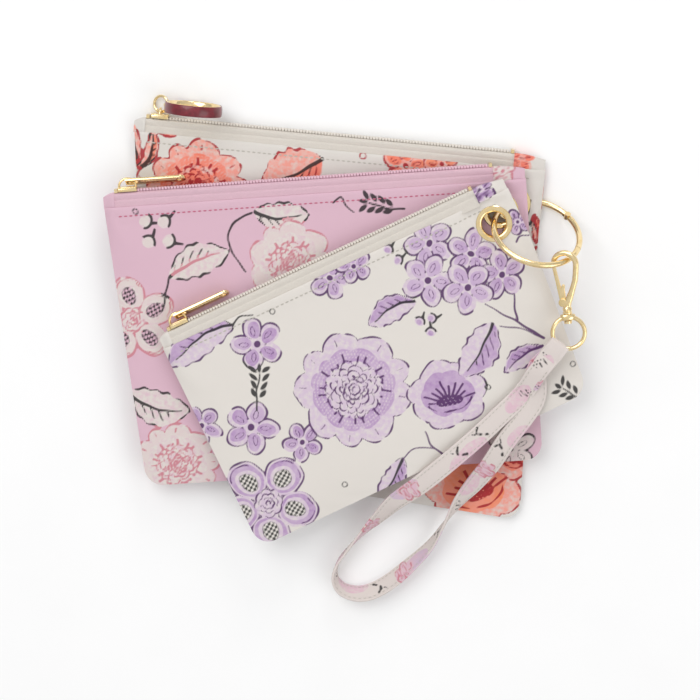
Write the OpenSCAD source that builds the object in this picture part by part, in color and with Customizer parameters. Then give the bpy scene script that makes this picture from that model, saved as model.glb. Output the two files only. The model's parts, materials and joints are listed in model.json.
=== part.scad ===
// Wristlet wallet: three flat zip pouches fanned on one carrier ring,
// with a swivel snap hook and a folded fabric wrist strap.
// Origin: centre of the large pouch's flat back. +X along its zip, +Y to the zip, +Z up.

/* [Pouches] */
// Width of the large pouch, seam to seam
large_w = 204; // [190:1:250]
// Height of the large pouch, bottom seam to coil
large_h = 176; // [150:1:215]
// Width of the medium pouch
medium_w = 208; // [180:1:245]
// Height of the medium pouch
medium_h = 148; // [124:1:178]
// Width of the small pouch
small_w = 187; // [160:1:225]
// Height of the small pouch
small_h = 118; // [98:1:142]
// Thickness of a pouch at its middle
pouch_t = 7.4; // [6.9:0.1:9]
// Corner radius of the bottom corners
corner_r = 9; // [4:1:14]
// Width of the slope from a seam up to full thickness
slope_w = 24; // [18:1:30]
// Angle of the medium pouch to the large one
medium_turn = 9.5; // [5:0.5:14]
// Angle of the small pouch to the large one
small_turn = 30.7; // [24:0.1:36]

/* [Fabric] */
// Outer panel with its interlining
panel_t = 0.8; // [0.6:0.05:1]
// Lining
lining_t = 0.4; // [0.3:0.05:0.5]
// Seam allowance where the two panels are sewn flat
seam_w = 2.5; // [1.5:0.1:4]
// Half thickness at the seam
seam_half = 0.9; // [0.85:0.05:1.2]

/* [Zips] */
// Height of the zip tape that shows above a panel
band_h = 7; // [5:0.5:9]
// Depth of tape sewn under the panel
tape_lap = 5; // [4:0.5:7]
// Thickness of the zip tape
tape_t = 0.6; // [0.4:0.05:0.7]
// Half width of the coil chain
coil_half = 2; // [1.6:0.1:2.2]
// Height of the coil above the tape
coil_h = 1.4; // [1:0.1:1.8]
// Half of the gap between the two coils, where the slider's web runs
coil_gap_half = 0.3; // [0.25:0.05:0.4]
// Length of a slider
slider_len = 9; // [8:0.5:11]
// Length of a flat pull tab
tab_len = 29; // [22:1:34]
// Width of a flat pull tab
tab_w = 6.4; // [5:0.2:7]
// Thickness of a flat pull tab
tab_t = 1.5; // [1.2:0.1:2]
// Outer radius of the large pouch's ring pull
pull_ring_r = 14.2; // [12:0.2:16]
// Width of the ring pull along its axis
pull_ring_w = 5.4; // [4:0.2:6.4]

/* [Grommets] */
// Radius of the bore at its narrowest
bore_r = 5.85; // [5.6:0.05:6]
// Outer radius of the flanges
flange_r = 8.9; // [8.7:0.1:9.4]
// Thickness of a flange
flange_t = 0.5; // [0.4:0.05:0.7]

/* [Carrier ring] */
// Mean radius of the ring
ring_r = 21.5; // [20.5:0.1:23.5]
// Radius of its wire
ring_wire_r = 1.5; // [1.3:0.05:1.6]
// Tilt of the ring's plane from level
ring_tilt = 52; // [50:0.5:54]
// Turn of the ring's level diameter
ring_turn = -8; // [-14:0.5:0]

/* [Snap hook] */
// Mean radius of the hook's bend
bend_r = 5.6; // [5.4:0.1:6.5]
// Half width of the hook's bar
hook_bar = 1.4; // [1.2:0.1:1.6]
// Thickness of the hook
hook_t = 2.8; // [2.4:0.1:3.2]
// Mean radius of the swivel eye
eye_r = 7.9; // [7:0.1:9]
// Radius of the eye's wire
eye_wire_r = 1.1; // [0.9:0.05:1.3]

/* [Strap] */
// Width of the folded strap
strap_w = 10; // [8:0.5:12]
// Thickness of the folded strap
strap_t = 1.6; // [1.2:0.1:2.2]

/* [Hidden] */
LARGE = 0;
MEDIUM = 1;
SMALL = 2;
W = [large_w, medium_w, small_w];
H = [large_h, medium_h, small_h];
TURN = [0, medium_turn, small_turn];
half = pouch_t / 2;
stack_gap = 0.4;                 // air between one pouch and the next
pitch = pouch_t + stack_gap;
fit = 0.05;                      // gap between layers that lie on each other
slide_fit = 0.3;                 // gap between a slider and what it runs on
floor_gap = 0.3;                 // carrier ring above the floor
thin = 0.04;                     // half thickness of a cavity where it runs out
cut = 3;                         // how far a pin hole is cut to each side of the middle
step_in = 2;                     // how fast an inner layer steps in from a seam
zip_lead = 6;                    // left end of the tapes, from the left seam
zip_tail = 16;                   // right end of the tapes, from the right seam
end_step = 1;                    // panel is full thickness this far past the tapes
strip_h = 6;                     // height of the full-thickness strip under the zip
tape_out = half - panel_t - fit; // outer face of a tape leg, from the mid plane
// How far the cloth has crept at the bottom left and bottom right corners of each pouch
CREEP = [[[21, 4], [6, -8]], [[10, 0], [0, 0]], [[0, 0], [-6.5, 2]]];

// Grommets: place in each pouch, and how far the corner is lifted off its mid plane
GROMMET_IN = [14.5, 13.5, 13.5];
GROMMET_DROP = [24.5, 22, 20];
squeeze = 0.25;                  // fabric crushed between the flanges, each side
ear_half = panel_t + lining_t - squeeze;
flange_top = ear_half + fit + flange_t;
LIFT = [half - flange_top, 0, 0];
dimple_r = flange_r + 0.2;
dimple_split_r = dimple_r + 2;
dimple_flare = 0.6;
lip_r = bore_r + 1.5;
ear_hole_r = lip_r + 0.1;
function grommet_at(p) = [W[p] / 2 - GROMMET_IN[p], H[p] / 2 - GROMMET_DROP[p]];
function mid_z(p) = half + p * pitch;
function ear_z(p) = mid_z(p) + LIFT[p];

// Carrier ring: its plane is spanned by ring_a (level) and ring_b (falling to +Y)
ring_a = [cos(ring_turn), sin(ring_turn), 0];
ring_b = [-sin(ring_turn) * cos(ring_tilt), cos(ring_turn) * cos(ring_tilt), -sin(ring_tilt)];
ring_z = ring_r * sin(ring_tilt) + ring_wire_r + floor_gap;
function ring_arm(z) =
    let (v = (z - ring_z) / ring_b.z, u = -sqrt(ring_r * ring_r - v * v))
    u * ring_a + v * ring_b;
ring_centre = let (g = grommet_at(LARGE), arm = ring_arm(ear_z(LARGE)))
    [g.x - arm.x, g.y - arm.y, ring_z];
function ring_at(angle) = ring_centre + ring_r * (cos(angle) * ring_a + sin(angle) * ring_b);
function grommet_world(p) = ring_centre + ring_arm(ear_z(p));
gate_from = -12;
gate_to = 50;
ring_joint_r = 0.8;              // hinge pin of the ring's gate
gate_slot = 0.1;

// Sliders and pulls
slider_x = 2.2;                   // slider's left end, from the left end of the tapes
under_plate_t = 0.8;
web_half = 0.15;
web_len = 1.6;
crown_sink = 0.3;
bar_r = 0.65;
bar_lift = 1.2;
cheek_in = 1.1;
window_len = 5.4;
tab_hole_r = 1.2;
link_r = 3.9;
link_wire_r = 0.7;
link_rise = 30;
pull_core_t = 1.1;
pull_core_r = pull_ring_r - 0.9;
lug_reach = 1.5;
lug_half = 1.9;
lug_hole_r = 1;
lug_t = 1.4;
plate_half = 3.1;
top_plate_t = 0.9;
rail_in = coil_half + slide_fit;
top_plate_y = coil_h + slide_fit;
crown_y = top_plate_y + top_plate_t;
crown_wire = 0.7;
CROWN_R = [2.8, 4.2, 4.2];       // mean radius of a slider's crown
seam_lap = 0.4;                  // end tabs stop this far inside the side seams
stop_len = 1.6;
coil_chamfer = 0.8;
stop_in = 0.2;

// Rims and bores of the grommets
lip_z = flange_top + 0.05;
bore_flat = 0.3;
lip_steps = 6;
barrel_r = ear_hole_r - 0.1;

// Gate of the carrier ring
gap_deg = 0.4;
hinge_deg = 4;
leaf_half = 0.5;
leaf_clear = 0.2;
ear_t = 0.9;

// Snap hook: frame at the centre of its bend, +Y away from the strap
hook_angle = -44;                // where it hangs on the carrier ring
hook_turn = 9;
hook_roll = -20;
hook_pitch = 2;
wire_in_bend = 1.4;              // the ring's wire lies this far past the bend's centre
pivot = [-1.8, -18.9];
gate_tip = [-5.4, -1.9];
gate_half_t = 0.65;
gate_pin_r = 0.6;
neck_top = -20.5;
neck_end = -24.7;
neck_r = 2.3;
eye_y = -34.1;
block_w = 7.5;
block_h = 3.2;
block_t = 4;
swivel_r = 1.1;
pin_fit = 0.05;
head_r = 1.9;
head_h = 1.2;
tack_len = 15;
tack_turn = -42;                 // the strap has slid round the eye by this much
tack_skin = 0.8;
hub_arm_r = 2.2;
lever_from = [-1.3, 5.2];
lever_to = [0.6, 8.4];
lever_r = 0.6;
gate_r = 0.8;
slot_left = 3.4;                 // slot of the gate, to the left and right of its pin
slot_right = 0.4;
slot_h = 8;
gate_hub_r = 1.7;
swivel_seat = 2.5;
eye_block_top = neck_end - 0.1;
eye_block_low = eye_block_top - block_h;
tack_half = eye_wire_r + 0.25 + tack_skin;
tack_from = eye_r - 3.6;         // the folded end reaches this close to the eye's centre
tack_to = tack_from + tack_len;
leg_z = strap_t / 2 + 0.3;
leg_in = 3;                      // length of strip held inside the tack

// Strap route: centre of the folded strip and the lean of its width from level
ROUTE = [
    [101, -28, 25, 0], [92, -39, 24.9, 0], [81, -52, 24.6, 0], [69, -65, 24, 0],
    [56, -79, 20.4, 4], [45, -90, 14.6, 18], [38, -99.5, 9.8, 42], [30, -110, 6.8, 70],
    [23.5, -119, 5.9, 85], [19, -127, 5.8, 85], [18.5, -135, 5.8, 75], [23.5, -140.5, 5.6, 62],
    [33, -141.5, 5.3, 52], [43, -136.5, 5.3, 50], [54, -126, 5.5, 55], [64.5, -113, 6.4, 74],
    [71, -99.5, 9, 98], [77, -87, 11.8, 132], [84, -76, 14, 160], [90, -65, 19.6, 172],
    [96, -52, 23, 180], [103, -40, 24.2, 178], [108, -29, 24.6, 168]
];
STRAP_SIDES = 8;
sub = 3;                         // rings between two route points

// Colours of the pouches' cloth, zips and linings, and of the hardware
CLOTH = ["lavenderblush", "pink", "ivory"];
ZIP = ["ivory", "pink", "ivory"];
LINING = ["coral", "thistle", "thistle"];
METAL = "gold";
PIN = "goldenrod";

// ---------- placing ----------
module place(p) {
    g = grommet_world(p);
    l = grommet_at(p);
    translate([g.x, g.y, mid_z(p)]) rotate([0, 0, TURN[p]]) translate([-l.x, -l.y, 0]) children();
}
module in_ring() { translate(ring_centre) rotate([-ring_tilt, 0, ring_turn]) children(); }
module in_hook() {
    translate(ring_at(hook_angle)) rotate([hook_pitch, hook_roll, hook_turn])
        translate([0, -wire_in_bend, 0]) children();
}

// ---------- pouch shape ----------
module outline(p, inset) {
    w = W[p] - 2 * inset;
    top = H[p] / 2 - band_h;
    bottom = -H[p] / 2 + inset;
    r = max(corner_r - inset, 1);
    hull() {
        for (s = [-1, 1]) {
            crept = CREEP[p][(s + 1) / 2];
            translate([s * (w / 2 - r) + crept.x, bottom + r + crept.y]) circle(r = r, $fn = 32);
            translate([s * w / 2 - (s + 1) / 2, top - 1]) square(1);
        }
    }
}
// Pillow of the pouch, stepped in by depth d from its outer face
module pillow(p, d, top_cut) {
    edge = d > 0 ? seam_w + step_in * d : 0;
    edge_half = max(seam_half - d, thin);
    top = H[p] / 2 - band_h;
    difference() {
        hull() {
            linear_extrude(2 * edge_half, center = true) outline(p, edge);
            translate([-W[p] / 2 + slope_w + d, -H[p] / 2 + slope_w + d, -half + d])
                cube([W[p] - 2 * (slope_w + d), H[p] - slope_w - band_h - d, pouch_t - 2 * d]);
            translate([-W[p] / 2 + zip_lead - end_step + d, top - strip_h, -half + d])
                cube([W[p] - zip_lead - zip_tail + 2 * (end_step - d), strip_h, pouch_t - 2 * d]);
        }
        dimple(p, d, 1);
        dimple(p, d, -1);
        if (top_cut > 0)
            translate([-W[p], top - top_cut, -pouch_t]) cube([2 * W[p], H[p], 2 * pouch_t]);
    }
}
// Pinch in the fabric round the grommet, on the front (side 1) or the back (side -1)
module dimple(p, d, side) {
    foot = LIFT[p] + side * (ear_half - d);
    reach = half + 1 - side * foot;
    translate([grommet_at(p).x, grommet_at(p).y, foot]) mirror([0, 0, side > 0 ? 0 : 1])
        cylinder(r1 = dimple_r + d / 2, r2 = dimple_r + d / 2 + dimple_flare * reach, h = reach, $fn = 64);
}
module grommet_hole(p, r) {
    translate([grommet_at(p).x, grommet_at(p).y, -pouch_t]) cylinder(r = r, h = 2 * pouch_t, $fn = 64);
}
// The space behind the surface where the two panels meet
module back_side(p) {
    translate([-W[p], -H[p], -pouch_t]) cube([2 * W[p], 2 * H[p], pouch_t]);
    if (LIFT[p] > 0)
        translate([grommet_at(p).x, grommet_at(p).y, -pouch_t])
            cylinder(r = dimple_split_r, h = pouch_t + LIFT[p], $fn = 64);
}
module panel_pair(p) {
    difference() {
        pillow(p, 0, 0);
        pillow(p, panel_t, 0);
        cavity_mouth(p, panel_t);
        grommet_hole(p, ear_hole_r);
    }
}
// Opens a cavity through the top edge, between the two tapes
module cavity_mouth(p, d) {
    translate([-W[p] / 2 + zip_lead - end_step + d, H[p] / 2 - band_h - 1, -half + d])
        cube([W[p] - zip_lead - zip_tail + 2 * (end_step - d), 2, pouch_t - 2 * d]);
}
module front_panel(p) { color(CLOTH[p]) place(p) difference() { panel_pair(p); back_side(p); } }
module back_panel(p) {
    color(CLOTH[p]) difference() {
        place(p) intersection() { panel_pair(p); back_side(p); }
        // groove where the carrier ring runs under the large pouch's corner
        if (p == LARGE) in_ring() ring_arc(40, 140, ring_wire_r + slide_fit);
    }
}
module lining(p) {
    outer = panel_t + fit;
    cut = tape_lap + fit;
    color(LINING[p]) place(p) difference() {
        pillow(p, outer, cut);
        difference() {
            pillow(p, outer + lining_t, 0);
            grommet_hole(p, ear_hole_r + 1);
        }
        grommet_hole(p, ear_hole_r);
    }
}

// ---------- zip ----------
module run(p, inset) {
    translate([-W[p] / 2 + zip_lead + inset, H[p] / 2, 0])
        rotate([90, 0, 90]) linear_extrude(W[p] - zip_lead - zip_tail - 2 * inset) children();
}
module tape_profile() {
    polygon([
        [-band_h - tape_lap, tape_out - tape_t], [-band_h - tape_lap, tape_out], [0, tape_out],
        [0, coil_gap_half], [-tape_t, coil_gap_half], [-tape_t, tape_out - tape_t]
    ]);
}
module zip_tape(p, side) {
    color(ZIP[p]) place(p) difference() {
        mirror([0, 0, side > 0 ? 0 : 1]) run(p, 0) tape_profile();
        dimple(p, panel_t + fit, side);
    }
}
module zip_coil(p) {
    color(ZIP[p]) place(p) for (s = [0, 1]) mirror([0, 0, s]) run(p, 2)
        translate([0, coil_gap_half]) difference() {
            square([coil_h, coil_half - coil_gap_half]);
            translate([coil_h, coil_half - coil_gap_half]) rotate(45) square(coil_chamfer, center = true);
        }
}
module zip_stops(p) {
    left = -W[p] / 2 + zip_lead + stop_in;
    right = W[p] / 2 - zip_tail - stop_in - stop_len;
    color(METAL) place(p) for (x = [left, right])
        for (s = [0, 1]) mirror([0, 0, s])
            translate([x, H[p] / 2, coil_gap_half]) cube([stop_len, coil_h + 0.4, coil_half + 0.2]);
}
module end_tab(p, x_in, x_seam) {
    top = H[p] / 2 - band_h + fit;
    dir = sign(x_seam - x_in);
    hull() {
        translate([min(x_in, x_in + dir), top, -half + 0.2])
            cube([1, band_h + 0.2, pouch_t - 0.4]);
        translate([min(x_seam - dir, x_seam), top, -seam_half])
            cube([1, band_h - 1.5, 2 * seam_half]);
    }
}
module end_tabs(p) {
    color(CLOTH[p]) place(p) {
        end_tab(p, -W[p] / 2 + zip_lead - fit, -W[p] / 2 + seam_lap);
        end_tab(p, W[p] / 2 - zip_tail + fit, W[p] / 2 - seam_lap);
    }
}

// ---------- slider and pulls ----------
module slider(p, crown_spin) {
    color(METAL) place(p) translate([-W[p] / 2 + zip_lead + slider_x, H[p] / 2, 0]) {
        // top plate with its rails
        translate([0, top_plate_y, -plate_half]) cube([slider_len, top_plate_t, 2 * plate_half]);
        for (s = [0, 1]) mirror([0, 0, s])
            translate([0, slide_fit, rail_in])
                cube([slider_len, top_plate_y - slide_fit + 0.1, plate_half - rail_in]);
        // bottom plate, inside the pouch
        under = tape_out - tape_t - slide_fit;
        translate([0, -tape_t - slide_fit - under_plate_t, -under])
            cube([slider_len - 1, under_plate_t, 2 * under]);
        // web between the two coils
        translate([0, -tape_t - slide_fit - 0.1, -web_half])
            cube([web_len, tape_t + slide_fit + top_plate_y + 0.2, 2 * web_half]);
        // crown that holds the pull
        translate([slider_len / 2, crown_y - crown_sink, 0]) rotate([0, crown_spin, 0])
            rotate_extrude(angle = 180, $fn = 48) translate([CROWN_R[p], 0])
                square(2 * crown_wire, center = true);
    }
}
function crown_at(p) =
    [-W[p] / 2 + zip_lead + slider_x + slider_len / 2, H[p] / 2 + crown_y - crown_sink + bar_lift];
// Flat tab: a round bar through the crown, two cheeks past it and a flat blade
module pull_tab(p) {
    c = crown_at(p);
    color(METAL) place(p) translate([c.x, c.y, 0]) {
        cylinder(r = bar_r, h = tab_w, center = true, $fn = 32);
        for (s = [0, 1]) mirror([0, 0, s]) translate([0, 0, cheek_in])
            cylinder(r = tab_t / 2, h = tab_w / 2 - cheek_in, $fn = 32);
        rotate([90, 0, 0]) linear_extrude(tab_t, center = true) difference() {
            union() {
                translate([0, -tab_w / 2]) square([tab_len - tab_w / 2, tab_w]);
                translate([tab_len - tab_w / 2, 0]) circle(r = tab_w / 2, $fn = 48);
            }
            translate([-1, -cheek_in]) square([window_len + 1, 2 * cheek_in]);
            translate([tab_len - tab_w / 2, 0]) circle(r = tab_hole_r, $fn = 32);
        }
    }
}

// Large pouch: a link through the crown carries a ring pull that stands on its rim
link_at = let (c = crown_at(LARGE)) [c.x, c.y + link_r, mid_z(LARGE)];
lug_at = link_at + link_r * [cos(link_rise), 0, sin(link_rise)];
ring_pull_z = pull_ring_r + fit;
lug_arm = pull_ring_r + lug_reach;
ring_pull_at = [lug_at.x + sqrt(lug_arm * lug_arm - pow(ring_pull_z - lug_at.z, 2)), lug_at.y, ring_pull_z];
lug_angle = atan2(lug_at.z - ring_pull_at.z, lug_at.x - ring_pull_at.x);
module pull_link() {
    color(METAL) translate(link_at) rotate([0, -link_rise, 0])
        rotate_extrude($fn = 64) translate([link_r, 0]) circle(r = link_wire_r, $fn = 24);
}
module in_ring_pull() { translate(ring_pull_at) rotate([90, 0, 0]) children(); }
module ring_pull() {
    color(METAL) in_ring_pull() {
        difference() {
            cylinder(r = pull_core_r, h = pull_ring_w, center = true, $fn = 96);
            cylinder(r = pull_core_r - pull_core_t, h = 2 * pull_ring_w, center = true, $fn = 96);
        }
        rotate([0, 0, lug_angle]) linear_extrude(lug_t, center = true) difference() {
            union() {
                translate([pull_core_r - pull_core_t / 2, -lug_half])
                    square([lug_arm - pull_core_r + pull_core_t / 2, 2 * lug_half]);
                translate([lug_arm, 0]) circle(r = lug_half, $fn = 48);
            }
            translate([lug_arm, 0]) circle(r = lug_hole_r, $fn = 48);
        }
    }
}
module ring_sleeve() {
    color("maroon") in_ring_pull() difference() {
        cylinder(r = pull_ring_r, h = pull_ring_w, center = true, $fn = 96);
        cylinder(r = pull_core_r, h = 2 * pull_ring_w, center = true, $fn = 96);
        rotate([0, 0, lug_angle]) translate([pull_core_r - 1, -lug_half - fit, -pull_ring_w])
            cube([4, 2 * (lug_half + fit), 2 * pull_ring_w]);
    }
}

// ---------- grommets ----------
function lip(side) = [for (i = [0 : lip_steps]) let (t = 90 * i / lip_steps)
    [lip_r - (lip_r - bore_r) * sin(t), side * (bore_flat + (lip_z - bore_flat) * cos(t))]];
module grommet(p) {
    back = [for (i = [lip_steps : -1 : 0]) lip(-1)[i]];
    color(METAL) place(p) translate([grommet_at(p).x, grommet_at(p).y, LIFT[p]]) rotate_extrude($fn = 96)
        polygon(concat(lip(1), back, [
            [barrel_r, -lip_z], [barrel_r, ear_half + fit], [flange_r, ear_half + fit],
            [flange_r, flange_top - 0.2], [flange_r - 0.3, flange_top]
        ]));
}
module grommet_washer(p) {
    color(METAL) place(p) translate([grommet_at(p).x, grommet_at(p).y, LIFT[p]]) rotate_extrude($fn = 96)
        polygon([
            [barrel_r + fit, -ear_half - fit], [flange_r, -ear_half - fit],
            [flange_r, -flange_top + 0.2], [flange_r - 0.3, -flange_top], [barrel_r + fit, -flange_top]
        ]);
}

// ---------- carrier ring ----------
module ring_arc(from, to, r) {
    rotate([0, 0, from]) rotate_extrude(angle = to - from, $fn = 128)
        translate([ring_r, 0]) circle(r = r, $fn = 32);
}
module carrier_ring() {
    color(METAL) in_ring() {
        difference() {
            ring_arc(gate_to, 360 + gate_from, ring_wire_r);
            // slot for the gate's leaf
            rotate([0, 0, gate_to]) translate([ring_r - cut, -1, -leaf_half - gate_slot])
                cube([2 * cut, 1 + ring_wire_r + leaf_clear, 2 * (leaf_half + gate_slot)]);
            rotate([0, 0, gate_to]) translate([ring_r, 0, -cut])
                cylinder(r = ring_joint_r, h = 2 * cut, $fn = 32);
        }
        // ears of the joint, above and below the leaf
        difference() {
            for (s = [0, 1]) mirror([0, 0, s]) rotate([0, 0, gate_to])
                translate([ring_r, 0, leaf_half + gate_slot])
                    cylinder(r = ring_wire_r, h = ear_t, $fn = 32);
            rotate([0, 0, gate_to]) translate([ring_r, 0, -cut])
                cylinder(r = ring_joint_r, h = 2 * cut, $fn = 32);
        }
    }
}
module ring_gate() {
    color(METAL) in_ring() difference() {
        union() {
            ring_arc(gate_from + gap_deg, gate_to - hinge_deg - 2, ring_wire_r);
            ring_arc_flat(gate_to - hinge_deg - 3, gate_to, leaf_half);
            rotate([0, 0, gate_to]) translate([ring_r, 0, -leaf_half])
                cylinder(r = ring_wire_r, h = 2 * leaf_half, $fn = 32);
        }
        rotate([0, 0, gate_to]) translate([ring_r, 0, -cut])
            cylinder(r = ring_joint_r + pin_fit, h = 2 * cut, $fn = 32);
    }
}
module ring_arc_flat(from, to, half_t) {
    rotate([0, 0, from]) rotate_extrude(angle = to - from, $fn = 128)
        translate([ring_r - ring_wire_r * 0.9, -half_t]) square([ring_wire_r * 1.8, 2 * half_t]);
}
module ring_gate_pin() {
    color(PIN) in_ring() rotate([0, 0, gate_to]) translate([ring_r, 0, 0])
        cylinder(r = ring_joint_r, h = 2 * (leaf_half + gate_slot + ear_t), center = true, $fn = 32);
}

// ---------- snap hook ----------
module bar2(a, b, r) {
    d = b - a;
    translate(a) rotate(atan2(d.y, d.x)) translate([0, -r]) square([norm(d), 2 * r]);
    translate(a) circle(r = r, $fn = 32);
    translate(b) circle(r = r, $fn = 32);
}
module bend_2d() {
    difference() {
        circle(r = bend_r + hook_bar, $fn = 64);
        circle(r = bend_r - hook_bar, $fn = 64);
        translate([-bend_r * 2, -bend_r * 4]) square([bend_r * 4, bend_r * 4]);
    }
}
module hook_body() {
    color(METAL) in_hook() difference() {
        union() {
            linear_extrude(hook_t, center = true) {
                bend_2d();
                bar2([bend_r, 0], [bend_r - 0.9, -8], hook_bar);
                bar2([bend_r - 0.9, -8], [2, -16], hook_bar);
                bar2([2, -16], [0, neck_top], hook_bar + 0.2);
                bar2(pivot, [0, neck_top], hub_arm_r);
            }
            translate([0, neck_end, 0]) rotate([-90, 0, 0])
                cylinder(r = neck_r, h = neck_top - neck_end + 0.5, $fn = 48);
        }
        // slot the gate turns in
        translate([pivot.x - slot_left, pivot.y - gate_hub_r - slide_fit, -gate_half_t - gate_slot])
            cube([slot_left + gate_hub_r + slot_right, slot_h, 2 * (gate_half_t + gate_slot)]);
        translate([pivot.x, pivot.y, -cut]) cylinder(r = gate_pin_r, h = 2 * cut, $fn = 32);
        translate([0, neck_end - 1, 0]) rotate([-90, 0, 0])
            cylinder(r = swivel_r, h = swivel_seat + 1, $fn = 32);
    }
}
module hook_gate() {
    color(METAL) in_hook() difference() {
        linear_extrude(2 * gate_half_t, center = true) {
            translate(pivot) circle(r = gate_hub_r, $fn = 48);
            bar2(pivot, gate_tip, gate_r);
            // thumb lever
            bar2(pivot + lever_from, pivot + lever_to, lever_r);
        }
        translate([pivot.x, pivot.y, -cut]) cylinder(r = gate_pin_r + pin_fit, h = 2 * cut, $fn = 32);
    }
}
module hook_gate_pin() {
    color(PIN) in_hook() translate([pivot.x, pivot.y, 0])
        cylinder(r = gate_pin_r, h = hook_t, center = true, $fn = 32);
}
module swivel_pin() {
    color(PIN) in_hook() {
        translate([0, eye_block_low - head_h - pin_fit, 0]) rotate([-90, 0, 0]) {
            cylinder(r = head_r, h = head_h, $fn = 48);
            cylinder(r = swivel_r, h = neck_end + swivel_seat - eye_block_low + head_h + pin_fit, $fn = 32);
        }
    }
}
module in_eye() { in_hook() rotate([0, -hook_roll, 0]) translate([0, eye_y, 0]) children(); }
module eye_ring(r) {
    rotate_extrude($fn = 96) translate([eye_r, 0]) circle(r = r, $fn = 24);
}
module swivel_eye() {
    color(METAL) in_eye() difference() {
        union() {
            eye_ring(eye_wire_r);
            translate([-block_w / 2, eye_block_low - eye_y, -block_t / 2])
                cube([block_w, block_h, block_t]);
        }
        translate([0, eye_block_low - eye_y - 4, 0]) rotate([-90, 0, 0])
            cylinder(r = swivel_r + pin_fit, h = 12, $fn = 32);
        // room for the pin's head
        translate([0, eye_block_low - eye_y - head_h - slide_fit, 0]) rotate([-90, 0, 0])
            cylinder(r = head_r + 0.2, h = head_h + slide_fit, $fn = 32);
    }
}

// ---------- strap ----------
module strap_tack() {
    color("pink") in_eye() rotate([0, 0, tack_turn]) difference() {
        translate([-strap_w / 2, -tack_to, -tack_half]) cube([strap_w, tack_len, 2 * tack_half]);
        eye_ring(tack_half - tack_skin);
    }
}
// Points of the snap hook's and the eye's frames in the row frame
function turn_x(v, a) = [v.x, v.y * cos(a) - v.z * sin(a), v.y * sin(a) + v.z * cos(a)];
function turn_y(v, a) = [v.x * cos(a) + v.z * sin(a), v.y, -v.x * sin(a) + v.z * cos(a)];
function turn_z(v, a) = [v.x * cos(a) - v.y * sin(a), v.x * sin(a) + v.y * cos(a), v.z];
function hook_point(v) = ring_at(hook_angle)
    + turn_z(turn_y(turn_x(v - [0, wire_in_bend, 0], hook_pitch), hook_roll), hook_turn);
function eye_point(v) = hook_point(turn_y(v + [0, eye_y, 0], -hook_roll));
function tack_point(x, y, z) = eye_point(turn_z([x, -y, z], tack_turn));
function with_lean(p, a) = [p.x, p.y, p.z, a];
strap_points = concat(
    [with_lean(tack_point(0, tack_to - leg_in, leg_z), 0), with_lean(tack_point(0, tack_to + 5, leg_z), 0)],
    ROUTE,
    [
        with_lean(tack_point(-0.5, tack_to + 5, -leg_z), 180),
        with_lean(tack_point(0, tack_to - leg_in, -leg_z), 180)
    ]
);
last = len(strap_points) - 1;
// Catmull-Rom between route points
function blend4(a, b, c, d, t) = 0.5 * (2 * b + (c - a) * t + (2 * a - 5 * b + 4 * c - d) * t * t
    + (3 * b - a - 3 * c + d) * t * t * t);
function along(i, t) = blend4(strap_points[max(i - 1, 0)], strap_points[i],
    strap_points[min(i + 1, last)], strap_points[min(i + 2, last)], t);
function strip(p) = [p.x, p.y, p.z];
rings = concat([for (i = [0 : last - 1]) for (k = [0 : sub - 1]) along(i, k / sub)], [strap_points[last]]);
function heading(i) =
    let (d = strip(rings[min(i + 1, len(rings) - 1)]) - strip(rings[max(i - 1, 0)])) d / norm(d);
function unit(v) = v / norm(v);
function corner(i, j) =
    let (t = heading(i), side = unit(cross(t, [0, 0, 1])), up = cross(side, t), lean = rings[i][3],
         wide = side * cos(lean) + up * sin(lean), flat = cross(wide, t),
         a = 360 * (j + 0.5) / STRAP_SIDES)
    strip(rings[i]) + wide * (strap_w / 2) * section_x(a) + flat * (strap_t / 2) * section_y(a);
function section_x(a) = abs(cos(a)) > 0.7 ? sign(cos(a)) : 0.86 * sign(cos(a));
function section_y(a) = abs(cos(a)) > 0.7 ? 0.5 * sign(sin(a)) : sign(sin(a));
module strap() {
    n = STRAP_SIDES;
    m = len(rings);
    color("pink") polyhedron(
        points = [for (i = [0 : m - 1]) for (j = [0 : n - 1]) corner(i, j)],
        faces = concat(
            [[for (j = [n - 1 : -1 : 0]) j]],
            [for (i = [0 : m - 2]) for (j = [0 : n - 1]) let (k = (j + 1) % n, b = i * n, c = b + n)
                each [[b + j, c + k, c + j], [b + j, b + k, c + k]]],
            [[for (j = [0 : n - 1]) (m - 1) * n + j]]
        )
    );
}

front_panel(LARGE);  // large_front_panel
back_panel(LARGE);  // large_back_panel
lining(LARGE);  // large_lining
zip_tape(LARGE, 1);  // large_zip_tape_front
zip_tape(LARGE, -1);  // large_zip_tape_back
zip_coil(LARGE);  // large_zip_coil
zip_stops(LARGE);  // large_zip_stops
end_tabs(LARGE);  // large_end_tabs
slider(LARGE, 90);  // large_slider
pull_link();  // large_pull_link
ring_pull();  // large_ring_pull
ring_sleeve();  // large_ring_sleeve
grommet(LARGE);  // large_grommet
grommet_washer(LARGE);  // large_grommet_washer
front_panel(MEDIUM);  // medium_front_panel
back_panel(MEDIUM);  // medium_back_panel
lining(MEDIUM);  // medium_lining
zip_tape(MEDIUM, 1);  // medium_zip_tape_front
zip_tape(MEDIUM, -1);  // medium_zip_tape_back
zip_coil(MEDIUM);  // medium_zip_coil
zip_stops(MEDIUM);  // medium_zip_stops
end_tabs(MEDIUM);  // medium_end_tabs
slider(MEDIUM, 0);  // medium_slider
pull_tab(MEDIUM);  // medium_pull_tab
grommet(MEDIUM);  // medium_grommet
grommet_washer(MEDIUM);  // medium_grommet_washer
front_panel(SMALL);  // small_front_panel
back_panel(SMALL);  // small_back_panel
lining(SMALL);  // small_lining
zip_tape(SMALL, 1);  // small_zip_tape_front
zip_tape(SMALL, -1);  // small_zip_tape_back
zip_coil(SMALL);  // small_zip_coil
zip_stops(SMALL);  // small_zip_stops
end_tabs(SMALL);  // small_end_tabs
slider(SMALL, 0);  // small_slider
pull_tab(SMALL);  // small_pull_tab
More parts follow.
